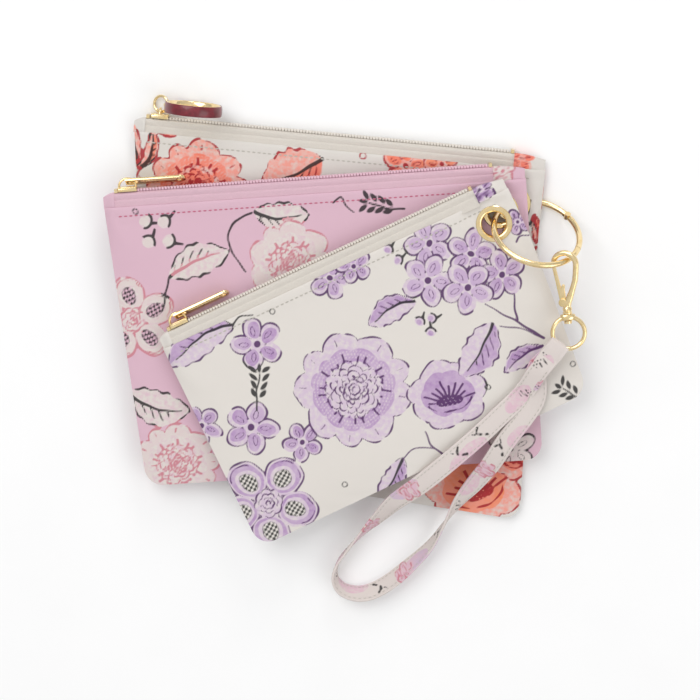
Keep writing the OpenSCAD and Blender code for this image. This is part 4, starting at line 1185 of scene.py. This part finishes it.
# ---------- sliders and pulls ----------
class WALLET_OT_sliders(bpy.types.Operator):
    """Make the zip sliders, their flat pull tabs and the ring pull"""

    bl_idname = "wallet.sliders"
    bl_label = "Sliders"

    def execute(self, context):
        for name in POUCHES:
            self.slider(Pouch(name))
        for name in ("medium", "small"):
            self.tab(Pouch(name))
        self.link()
        self.ring_pull()
        return {"FINISHED"}

    def slider(self, pouch):
        """A cast slider: two plates, side rails, a wedge and a wire crown."""
        name = pouch.name
        lo, hi = local_box(name + "_slider", pouch.to_row)
        top = pouch.h / 2
        plate_y, plate_t, half = top + 1.7, 0.9, 3.1
        bm = bmesh.new()
        w = (hi[0] - lo[0]) / 2
        nose_r, heel_r = 1.6, 2.6
        outline = arc(w - nose_r, half - nose_r, nose_r, 0, 90, 6)
        outline += arc(-w + heel_r, half - heel_r, heel_r, 90, 180, 8)
        outline += arc(-w + heel_r, -half + heel_r, heel_r, 180, 270, 8)
        outline += arc(w - nose_r, -half + nose_r, nose_r, 270, 360, 6)
        lid = plate([outline], plate_t, 0.25)
        flip = Matrix.Rotation(math.radians(90), 4, "X")
        at = Matrix.Translation(((lo[0] + hi[0]) / 2, plate_y + plate_t / 2, 0)) @ flip
        join(bm, lid, at)
        for side in (-1, 1):
            inner, outer = side * 2.3, side * half
            block(bm, (lo[0] + 0.4, top + 0.3, min(inner, outer)),
                  (hi[0] - 0.3, plate_y + 0.3, max(inner, outer)), 0.2)
        block(bm, (lo[0], top - 1.7, -1.9), (hi[0] - 1, top - 0.9, 1.9), 0.2)
        block(bm, (lo[0], top - 1.2, -0.15), (lo[0] + 1.6, plate_y + 0.3, 0.15), 0.04, 1)
        crown_y = plate_y + plate_t - 0.3
        crown_r = hi[1] - crown_y - 0.7
        crown = bmesh.new()
        wire = 0.62
        section = [(crown_r + wire * math.cos(a) + 0.05, wire * math.sin(a))
                   for a in np.arange(16) * TAU / 16]
        lathe(crown, section, math.pi, 0.0, 32)
        spin = Matrix.Rotation(math.radians(90), 4, "Y") if name == "large" else Matrix.Identity(4)
        at = Matrix.Translation(((lo[0] + hi[0]) / 2, crown_y, 0)) @ spin
        join(bm, crown, at)
        node = name + "_slider"
        piece(node + "_cast", bm, pouch.to_row, node, gold(), [node])

    def tab(self, pouch):
        """A long flat tab with a window at the crown and a hole at its end."""
        node = pouch.name + "_pull_tab"
        lo, hi = local_box(node, pouch.to_row)
        hinge = self.hinge(pouch)
        wide, reach, thick = hi[2] - lo[2], hi[0] - hinge[0], hi[1] - lo[1]
        r = wide / 2
        end = reach - r
        outline = [(-0.75, -r), (end, -r)] + arc(end, 0, r, -90, 90, 16)[1:] + [(-0.75, r)]
        window = [(0.65, -1.1), (5.4, -1.1), (5.4, 1.1), (0.65, 1.1)]
        hole = arc(end, 0, 1.2, 0, -345, 23)
        blade = plate([outline, window, hole], thick, 0.3)
        groove = plate([[(7, -r * 0.55), (end - 3, -r * 0.55)] + arc(end - 3, 0, r * 0.55, -90, 90, 8)[1:-1]
                        + [(end - 3, r * 0.55), (7, r * 0.55)]], thick + 0.35, 0.2)
        join(blade, groove)
        # it lies tipped to the front, loose in the tall crown
        tip = Matrix.Rotation(math.radians(90 - TAB_TIP), 4, "X")
        at = Matrix.Translation((hinge[0], hinge[1] + TAB_LIFT, 0)) @ tip
        bmesh.ops.transform(blade, matrix=at, verts=blade.verts[:])
        piece(node + "_cast", blade, pouch.to_row, pouch.name + "_tab", gold(), [node])

    def hinge(self, pouch):
        place = pouch.to_row.inverted() @ joint_place(pouch.name + "_tab_flip")
        return place.x, place.y

    def link(self):
        """The round link between the crown and the ring pull is a true ring in the CAD."""
        frame["nodes"]["large_pull_link"].data.materials[0] = gold()

    def ring_pull(self):
        """A gold hoop in a burgundy enamel band, with the lug that holds it."""
        lo, hi = (np.array(c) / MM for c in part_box("large_ring_sleeve"))
        wide, r = hi[1] - lo[1], (hi[0] - lo[0]) / 2
        centre = Vector(((lo[0] + hi[0]) / 2, (lo[1] + hi[1]) / 2, (lo[2] + hi[2]) / 2))
        to_row = Matrix.Translation(centre) @ Matrix.Rotation(math.radians(90), 4, "X")
        lug = to_row.inverted() @ joint_place("ring_pull_lift")
        lug_angle, lug_r = math.atan2(lug.y, lug.x), math.hypot(lug.x, lug.y)
        core = r - 0.9
        half = wide / 2
        crown = [(core, -half + 0.35), (core + 0.35, -half + 0.05)]
        outer = [(core + 0.35 + 0.55 * math.cos(a), (half - 0.6) * math.sin(a) + 0.55 * math.sin(a))
                 for a in np.linspace(-1.45, 1.45, 13)]
        band = crown[:1] + outer + [(core, half - 0.35)]
        gap = 0.17
        bm = bmesh.new()
        lathe(bm, band, TAU - 2 * gap, lug_angle + gap, 120)
        enamel = kept("Burgundy enamel", enamel_material)
        piece("large_ring_sleeve_band", bm, to_row, "large_ring_pull", enamel,
              ["large_ring_sleeve"])
        hoop = [(core, -half + 0.2), (core, half - 0.2), (core - 0.35, half), (core - 0.8, half - 0.15)]
        hoop += [(core - 1.1, half - 0.6), (core - 1.1, -half + 0.6), (core - 0.8, -half + 0.15),
                 (core - 0.35, -half)]
        bm = bmesh.new()
        lathe(bm, hoop, TAU, 0.0, 120)
        reach = lug_r - core
        lug_half = 1.9
        outline = [(-0.4, -lug_half), (reach, -lug_half)] + arc(reach, 0, lug_half, -90, 90, 14)[1:-1]
        outline += [(reach, lug_half), (-0.4, lug_half)]
        tongue = plate([outline, arc(reach, 0, 1.0, 0, -345, 23)], 1.4, 0.3)
        at = Matrix.Rotation(lug_angle, 4, "Z") @ Matrix.Translation((core, 0, 0))
        join(bm, tongue, at)
        piece("large_ring_pull_hoop", bm, to_row, "large_ring_pull", gold(), ["large_ring_pull"])


# ---------- ring, grommets and hook ----------
EYE_WIRE = 1.1      # radius of the eye's wire, in mm


class WALLET_OT_ring(bpy.types.Operator):
    """Finish the grommets, the carrier ring and its gate"""

    bl_idname = "wallet.ring"
    bl_label = "Ring and grommets"

    def execute(self, context):
        for name in POUCHES:
            for part in ("grommet", "grommet_washer"):
                frame["nodes"][f"{name}_{part}"].data.materials[0] = gold()
        for name in ("carrier_ring", "ring_gate", "ring_gate_pin"):
            frame["nodes"][name].data.materials[0] = gold()
        return {"FINISHED"}


class WALLET_OT_hook(bpy.types.Operator):
    """Make the snap hook, its gate and the swivel eye"""

    bl_idname = "wallet.hook"
    bl_label = "Snap hook"

    def execute(self, context):
        y_axis = joint_axis("swivel")
        z_axis = -joint_axis("hook_gate_open")
        to_row = axes_matrix(y_axis.cross(z_axis), y_axis, z_axis, joint_place("swivel"))
        self.body(to_row)
        self.gate(to_row)
        self.eye()
        for name in ("hook_gate_pin", "swivel_pin"):
            frame["nodes"][name].data.materials[0] = gold()
        return {"FINISHED"}

    def body(self, to_row):
        """A cast bend and leg, a slotted cheek round the gate's pin, and a turned neck."""
        lo, hi = local_box("hook_body", to_row)
        bar = 1.4
        bend_r = hi[0] - bar
        bend = [(bend_r * math.cos(a), bend_r * math.sin(a)) for a in np.linspace(math.pi * 1.0, 0, 40)]
        leg = [(bend_r - 0.1, -2), (bend_r - 0.4, -5), (bend_r - 0.9, -8), (bend_r - 1.9, -11),
               (bend_r - 2.8, -13.5), (bend_r - 3.8, -16), (bend_r - 4.9, -18.5), (0.2, -20.5), (0, -22.6)]
        line = np.array(bend + leg)
        steps = run_length(line)
        fine = np.linspace(0, steps[-1], 140)
        path = np.stack([np.interp(fine, steps, line[:, 0]), np.interp(fine, steps, line[:, 1]), 0 * fine],
                        axis=1)

        def section(s, angle):
            tip = smooth(s / 0.05) ** 0.5 * 0.6 + 0.4
            stout = bar * (1 + 0.28 * smooth((s - 0.72) / 0.18)) * tip
            return stout * np.sign(np.cos(angle)) * np.abs(np.cos(angle)) ** 0.8, \
                bar * tip * np.sign(np.sin(angle)) * np.abs(np.sin(angle)) ** 0.8

        ahead = np.gradient(path, axis=0)
        wide = np.stack([-ahead[:, 1], ahead[:, 0], 0 * fine], axis=1)
        bm = sweep(path, section, 20, wide, 110)
        pivot = to_row.inverted() @ joint_place("hook_gate_open")
        for side in (-1, 1):
            rim = arc(pivot.x, pivot.y, 2.15, 60, 250, 20) + [(0.2, -21.4), (1.6, -19.2)]
            cheek = plate([rim], 0.6, 0.22)
            join(bm, cheek, Matrix.Translation((0, 0, side * 1.08)))
        neck = bmesh.new()
        low = lo[1]
        profile = [(1.15, low), (2.0, low), (2.3, low + 0.3), (2.3, low + 1.0), (1.95, low + 1.3),
                   (1.95, low + 1.7), (2.3, low + 2.0), (2.25, low + 3.0), (1.7, low + 4.0),
                   (1.1, low + 4.6), (0.2, low + 4.7), (0.2, low + 2.6), (1.15, low + 2.5)]
        lathe(neck, profile, TAU, 0.0, 48)
        bmesh.ops.transform(neck, matrix=Matrix.Rotation(math.radians(-90), 4, "X"), verts=neck.verts[:])
        bmesh.ops.recalc_face_normals(neck, faces=neck.faces[:])
        join(bm, neck)
        piece("hook_body_cast", bm, to_row, "hook", gold(), ["hook_body"])

    def gate(self, to_row):
        """The sprung gate with its thumb lever."""
        pivot = to_row.inverted() @ joint_place("hook_gate_open")
        tip = (-5.4, -1.9)
        a = math.atan2(tip[1] - pivot.y, tip[0] - pivot.x)
        side = math.degrees(a)
        outline = arc(tip[0], tip[1], 0.85, side - 90, side + 90, 10)
        outline += arc(pivot.x, pivot.y, 1.65, side + 115, side + 245, 18)
        lever = [(1.1, 6.6), (1.3, 8.6), (0.4, 9.1), (-0.4, 8.2), (-0.7, 7.4)]
        outline += [(pivot.x + x, pivot.y + y) for x, y in lever]
        bm = plate([outline, arc(pivot.x, pivot.y, 0.65, 0, -345, 23)], 1.3, 0.28)
        piece("hook_gate_cast", bm, to_row, "hook_gate", gold(), ["hook_gate"])

    def eye(self):
        """A round wire eye with a turned swivel block."""
        to_row = eye_matrix()
        hi = local_box("swivel_eye", to_row)[1]
        wire = EYE_WIRE
        eye_r = hi[0] - wire
        bm = bmesh.new()
        section = [(eye_r + wire * math.cos(a), wire * math.sin(a)) for a in np.arange(20) * TAU / 20]
        lathe(bm, section, TAU, 0.0, 96)
        top, low = hi[1], hi[1] - 3.2
        block_bm = bmesh.new()
        profile = [(1.16, top), (3.2, top), (3.7, top - 0.4), (3.7, low + 0.9), (3.2, low + 0.3),
                   (2.4, low + 0.1), (2.15, low + 0.1), (2.15, low + 0.35), (1.16, low + 0.35)]
        lathe(block_bm, profile, TAU, 0.0, 48)
        squash_z = Matrix.Diagonal((1, 1, 0.56, 1)) @ Matrix.Rotation(math.radians(-90), 4, "X")
        bmesh.ops.transform(block_bm, matrix=squash_z, verts=block_bm.verts[:])
        bmesh.ops.recalc_face_normals(block_bm, faces=block_bm.faces[:])
        join(bm, block_bm)
        piece("swivel_eye_cast", bm, to_row, "eye", gold(), ["swivel_eye"])


def eye_matrix():
    """The eye's own frame: +y to the hook, z through the eye."""
    y_axis = joint_axis("swivel")
    across = -joint_axis("strap_swing")
    z_axis = across.cross(y_axis).normalized()
    if z_axis.z < 0:
        z_axis = -z_axis
    rough = axes_matrix(y_axis.cross(z_axis), y_axis, z_axis, joint_place("swivel"))
    lo, hi = local_box("swivel_eye", rough)
    middle = ((lo[0] + hi[0]) / 2, lo[1] + (hi[0] - lo[0]) / 2, (lo[2] + hi[2]) / 2)
    return rough @ Matrix.Translation(middle)


# ---------- strap ----------
# Route of the folded strip in mm, with the lean of its width from level in degrees
ROUTE = [
    (101, -28, 25, 0), (92, -39, 24.9, 0), (81, -52, 24.6, 0), (69, -65, 24, 0),
    (56, -79, 20.4, 4), (45, -90, 14.6, 18), (38, -99.5, 9.8, 42), (30, -110, 6.8, 70),
    (23.5, -119, 5.9, 85), (19, -127, 5.8, 85), (18.5, -135, 5.8, 75), (23.5, -140.5, 5.6, 62),
    (33, -141.5, 5.3, 52), (43, -136.5, 5.3, 50), (54, -126, 5.5, 55), (64.5, -113, 6.4, 74),
    (71, -99.5, 9, 98), (77, -87, 11.8, 132), (84, -76, 14, 160), (90, -65, 19.6, 172),
    (96, -52, 23, 180), (103, -40, 24.2, 178), (108, -29, 24.6, 168),
]
STRAP_W, STRAP_T = 10.0, 1.6
STITCH_ROW = 0.36   # each row of stitches lies this share of the width from the middle


def catmull(points, steps):
    """A smooth curve through points of any width."""
    p = np.array([points[0], *points, points[-1]], float)
    t = np.linspace(0, 1, steps, endpoint=False)[:, None]
    out = []
    for a, b, c, d in zip(p, p[1:], p[2:], p[3:]):
        out.append(0.5 * (2 * b + (c - a) * t + (2 * a - 5 * b + 4 * c - d) * t * t
                          + (3 * b - a - 3 * c + d) * t ** 3))
    return np.vstack([*out, p[-1:]])


def strip_section(width, thick):
    """Cross-section of the folded strip: four layers, pinched along its two rows of stitches."""
    def section(s, angle):
        c, d = np.cos(angle), np.sin(angle)
        across = width / 2 * np.sign(c) * np.abs(c) ** 0.55
        pinch = 0.2 * np.exp(-((np.abs(across) - width * STITCH_ROW) / 0.5) ** 2)
        puff = 1 + 0.06 * np.sin(s * 260) * np.abs(c)
        return across, (thick / 2 - pinch) * np.sign(d) * np.abs(d) ** 0.4 * puff
    return section


class WALLET_OT_strap(bpy.types.Operator):
    """Make the folded wrist strap and the tack that holds it on the eye"""

    bl_idname = "wallet.strap"
    bl_label = "Strap"

    def execute(self, context):
        s = settings()
        colours = [s.strap_ground, s.strap_wash, s.strap_tone, s.strap_wash, s.medium_ink]
        self.cotton = kept("Printed strap cotton", cloth_material, colours, 0.6)
        eye = eye_matrix()
        across = -joint_axis("strap_swing")
        away = (eye.col[2].xyz.cross(across)).normalized()
        if away.y > 0:
            away = -away
        tack = axes_matrix(across, away, eye.col[2].xyz, eye.translation)
        tack_piece, tack_end = self.tack(tack)
        self.strip(tack, tack_end, tack_piece)
        return {"FINISHED"}

    def tack(self, to_row):
        """The strap's two ends, folded over the eye's wire and sewn down."""
        lo, hi = local_box("strap_tack", to_row)
        wire_y = local_box("swivel_eye", eye_matrix())[1][0] - EYE_WIRE
        end, skin = hi[1], 1.2
        r = (hi[2] - lo[2]) / 2 - skin / 2
        turn = [(0, wire_y - r * math.sin(a), r * math.cos(a)) for a in np.linspace(0, math.pi, 13)]
        pull = [(0, wire_y + 4, r), (0, wire_y + 1.5, r)]
        front = [(0, end, 1.05), (0, end - 3, 1.05), (0, wire_y + 6.5, 1.2)] + pull
        path = front + turn + [(0, y, -z) for _, y, z in reversed(front)]
        path = catmull([(*p, 0) for p in path], 6)[:, :3]
        wide = np.tile([1.0, 0, 0], (len(path), 1))
        bm = sweep(path, strip_section(STRAP_W + 0.4, skin), 32, wide, 120)
        bmesh.ops.recalc_face_normals(bm, faces=bm.faces[:])
        made = piece("strap_tack_cloth", bm, to_row, "strap", self.cotton,
                     ["strap_tack"], 1.2)
        co = local_verts(made, to_row)
        pr = Print(co[:, 1] + 3 * np.sign(co[:, 2]), co[:, 0], 0.5)
        self.paint(pr)
        write_print(made, pr)
        return made, end

    def strip(self, tack, end, tack_piece):
        """The strap along its route, from one end in the tack to the other."""
        def at(x, y, z, lean):
            return (*(tack @ Vector((x, y, z))), lean)

        level = STRAP_T / 2 + 0.3
        points = [at(0, end - 3, level, 0), at(0, end + 5, level, 0), *ROUTE,
                  at(-0.5, end + 5, -level, 180), at(0, end - 3, -level, 180)]
        route = catmull(points, 14)
        path, lean = route[:, :3], np.radians(route[:, 3])
        ahead = np.gradient(path, axis=0)
        ahead /= np.linalg.norm(ahead, axis=1)[:, None]
        side = np.cross(ahead, [0, 0, 1])
        side /= np.linalg.norm(side, axis=1)[:, None]
        up = np.cross(side, ahead)
        wide = side * np.cos(lean)[:, None] + up * np.sin(lean)[:, None]
        bm = sweep(path, strip_section(STRAP_W, STRAP_T), 36, wide, 900)
        made = piece("wrist_strap", bm, Matrix.Identity(4), "strap", self.cotton,
                     ["strap"], 1.2)
        self.unroll(made, path, wide)
        steps = run_length(path)
        stitch_piece = self.stitches(path, wide, steps)

    def unroll(self, made, path, wide):
        """Paints the print by length along the strap and place across it."""
        co = local_verts(made, Matrix.Identity(4))
        steps = run_length(path)
        along, across = np.empty(len(co)), np.empty(len(co))
        ahead = np.gradient(path, axis=0)
        flat = np.cross(wide, ahead / np.linalg.norm(ahead, axis=1)[:, None])
        batch = 4000
        for k in range(0, len(co), batch):
            part = co[k:k + batch]
            near = np.argmin(np.linalg.norm(part[:, None] - path[None], axis=2), axis=1)
            off = part - path[near]
            face = np.sign(np.sum(off * flat[near], axis=1))
            stride = np.linalg.norm(ahead[near], axis=1)
            along[k:k + batch] = steps[near] + np.sum(off * ahead[near], axis=1) / stride
            across[k:k + batch] = np.sum(off * wide[near], axis=1) + (face < 0) * 30
        pr = Print(along, across, 0.42)
        self.paint(pr)
        write_print(made, pr)

    def paint(self, pr):
        """Patches of pink and lavender, dotted clusters and black slashes."""
        span = 360
        for row in (0, 30):
            for k in range(10):
                at = 26 + k * 37 + row * 0.5
                i, x, y = pr.near(at, row, 14)
                patch = oval(x, y + 4 * math.sin(k * 2), 9 + 3 * math.sin(k * 1.7), 4.6)
                if k % 3 == 2:
                    pr.lay(i, tone=patch)
                else:
                    pr.lay(i, wash=patch)
            for at, across in ((4, 1.5), (21, -1.5), (148, 1), (160, -1.5), (250, 0), (330, 1)):
                speckle(pr, at, row + across, 4.2, 2.2, 0.7, 1.5)
            for at in (52, 66, 190, 232, 290):
                stem(pr, [(at - 3, row - 2.5), (at, row - 0.5), (at + 3.5, row + 2.6)], 0.5, dark=1.0)
                stem(pr, [(at - 1, row + 3.2), (at + 2, row + 1.2)], 0.4, dark=1.0)
            for at in (98, 128, 205, 275, span - 25):
                daisy(pr, at, row + 1, 5.5, 0.3 * at, hue=1.0)

    def stitches(self, path, wide, steps):
        """Two rows of stitches along the strap, on both faces."""
        ahead = np.gradient(path, axis=0)
        flat = np.cross(wide, ahead)
        flat /= np.linalg.norm(flat, axis=1)[:, None]
        bm = bmesh.new()
        pitch = 2.4
        for s in np.arange(6, steps[-1] - 6, pitch):
            place = Vector([np.interp(s, steps, path[:, k]) for k in range(3)])
            x_axis = Vector([np.interp(s, steps, ahead[:, k]) for k in range(3)]).normalized()
            y_axis = Vector([np.interp(s, steps, wide[:, k]) for k in range(3)]).normalized()
            z_axis = Vector([np.interp(s, steps, flat[:, k]) for k in range(3)]).normalized()
            for row in (-1, 1):
                for face in (-1, 1):
                    at = place + y_axis * row * STRAP_W * STITCH_ROW + z_axis * face * (STRAP_T / 2 - 0.12)
                    m = axes_matrix(x_axis, y_axis, z_axis, at) @ Matrix.Diagonal((0.85, 0.2, 0.14, 1))
                    bmesh.ops.create_icosphere(bm, subdivisions=1, radius=1, matrix=m)
        thread = kept("Strap thread", plain_cloth_material, settings().ivory_thread, 0.35)
        return piece("strap_stitches", bm, Matrix.Identity(4), "strap", thread)


# ---------- stage ----------
class WALLET_OT_stage(bpy.types.Operator):
    """Make the camera, the floor and the soft studio light"""

    bl_idname = "wallet.stage"
    bl_label = "Stage"

    def execute(self, context):
        self.camera()
        self.floor()
        self.lights()
        return {"FINISHED"}

    def camera(self):
        """Looks down on the wallet, leaning a little to the zip side."""
        tilt, roll = math.radians(10), math.radians(-5.5)
        right = Vector((math.cos(roll), -math.sin(roll), 0))
        back = Vector((math.sin(tilt) * math.sin(roll), math.sin(tilt) * math.cos(roll), math.cos(tilt)))
        up = back.cross(right)
        target, field, far = Vector((0.0149, -0.0185, 0.0)), 0.35, 1.4
        data = bpy.data.cameras.new("camera")
        data.sensor_width = 36
        data.lens = data.sensor_width * far / field
        made = bpy.data.objects.new("camera", data)
        bpy.context.scene.collection.objects.link(made)
        made.matrix_world = axes_matrix(right, up, back, target + back * far)
        bpy.context.scene.camera = made

    def floor(self):
        """A pale paper floor."""
        bm = bmesh.new()
        bmesh.ops.create_grid(bm, x_segments=1, y_segments=1, size=4)
        mesh = bpy.data.meshes.new("floor")
        bm.to_mesh(mesh)
        bm.free()
        made = bpy.data.objects.new("floor", mesh)
        bpy.context.scene.collection.objects.link(made)
        paper, tree, shader = material("Pale paper")
        grain = add(tree, "ShaderNodeTexNoise", {"Vector": object_mm(tree), "Scale": 0.02}).outputs[0]
        tree.links.new(mix_colour(tree, grain, srgb((0.985, 0.985, 0.985)), srgb((0.97, 0.97, 0.97))),
                       shader.inputs["Base Color"])
        shader.inputs["Roughness"].default_value = 0.9
        mesh.materials.append(paper)

    def lights(self):
        """A soft sky and three area lamps."""
        scene = bpy.context.scene
        scene.view_settings.view_transform = "Standard"
        world = bpy.data.worlds.new("Studio")
        scene.world = world
        world.use_nodes = True
        tree = world.node_tree
        sky = add(tree, "ShaderNodeTexCoord").outputs["Generated"]
        up = add(tree, "ShaderNodeSeparateXYZ", {0: sky}).outputs["Z"]
        tone = ramp(tree, up, -0.1, 0.9, 0.55, 1.0)
        tree.links.new(tone, tree.nodes["Background"].inputs["Color"])
        tree.nodes["Background"].inputs["Strength"].default_value = 0.74
        lamps = (("key", (-0.8, 0.9, 1.6), 1.3, 14), ("fill", (1.3, -0.5, 1.3), 1.2, 6),
                 ("rim", (0.2, 1.6, 0.7), 0.5, 4))
        for name, place, size, power in lamps:
            data = bpy.data.lights.new(name, "AREA")
            data.size = size
            data.energy = power
            made = bpy.data.objects.new(name, data)
            scene.collection.objects.link(made)
            made.location = place
            made.rotation_euler = (-Vector(place)).to_track_quat("-Z", "Y").to_euler()


class WALLET_PT_sidebar(bpy.types.Panel):
    """Lists the wallet's steps as buttons, and its settings"""

    bl_idname = "WALLET_PT_sidebar"
    bl_label = "Wristlet Wallet"
    bl_space_type = "VIEW_3D"
    bl_region_type = "UI"
    bl_category = "Wallet"

    def draw(self, context):
        for operator in OPERATORS:
            self.layout.operator(operator.bl_idname)
        for name in WalletSettings.__annotations__:
            self.layout.prop(context.scene.wallet, name)


OPERATORS = (WALLET_OT_stage, WALLET_OT_strap, WALLET_OT_panels, WALLET_OT_zips, WALLET_OT_sliders,
             WALLET_OT_ring, WALLET_OT_hook)
CLASSES = (WalletSettings, *OPERATORS, WALLET_PT_sidebar)


def register():
    for cls in CLASSES:
        bpy.utils.register_class(cls)
    bpy.types.Scene.wallet = PointerProperty(type=WalletSettings)


def unregister():
    del bpy.types.Scene.wallet
    for cls in reversed(CLASSES):
        bpy.utils.unregister_class(cls)


def main():
    register()
    bpy.ops.wallet.stage()
    bpy.ops.wallet.strap()
    bpy.ops.wallet.panels()
    bpy.ops.wallet.zips()
    bpy.ops.wallet.sliders()
    bpy.ops.wallet.ring()
    bpy.ops.wallet.hook()


if __name__ == "__main__":
    main()
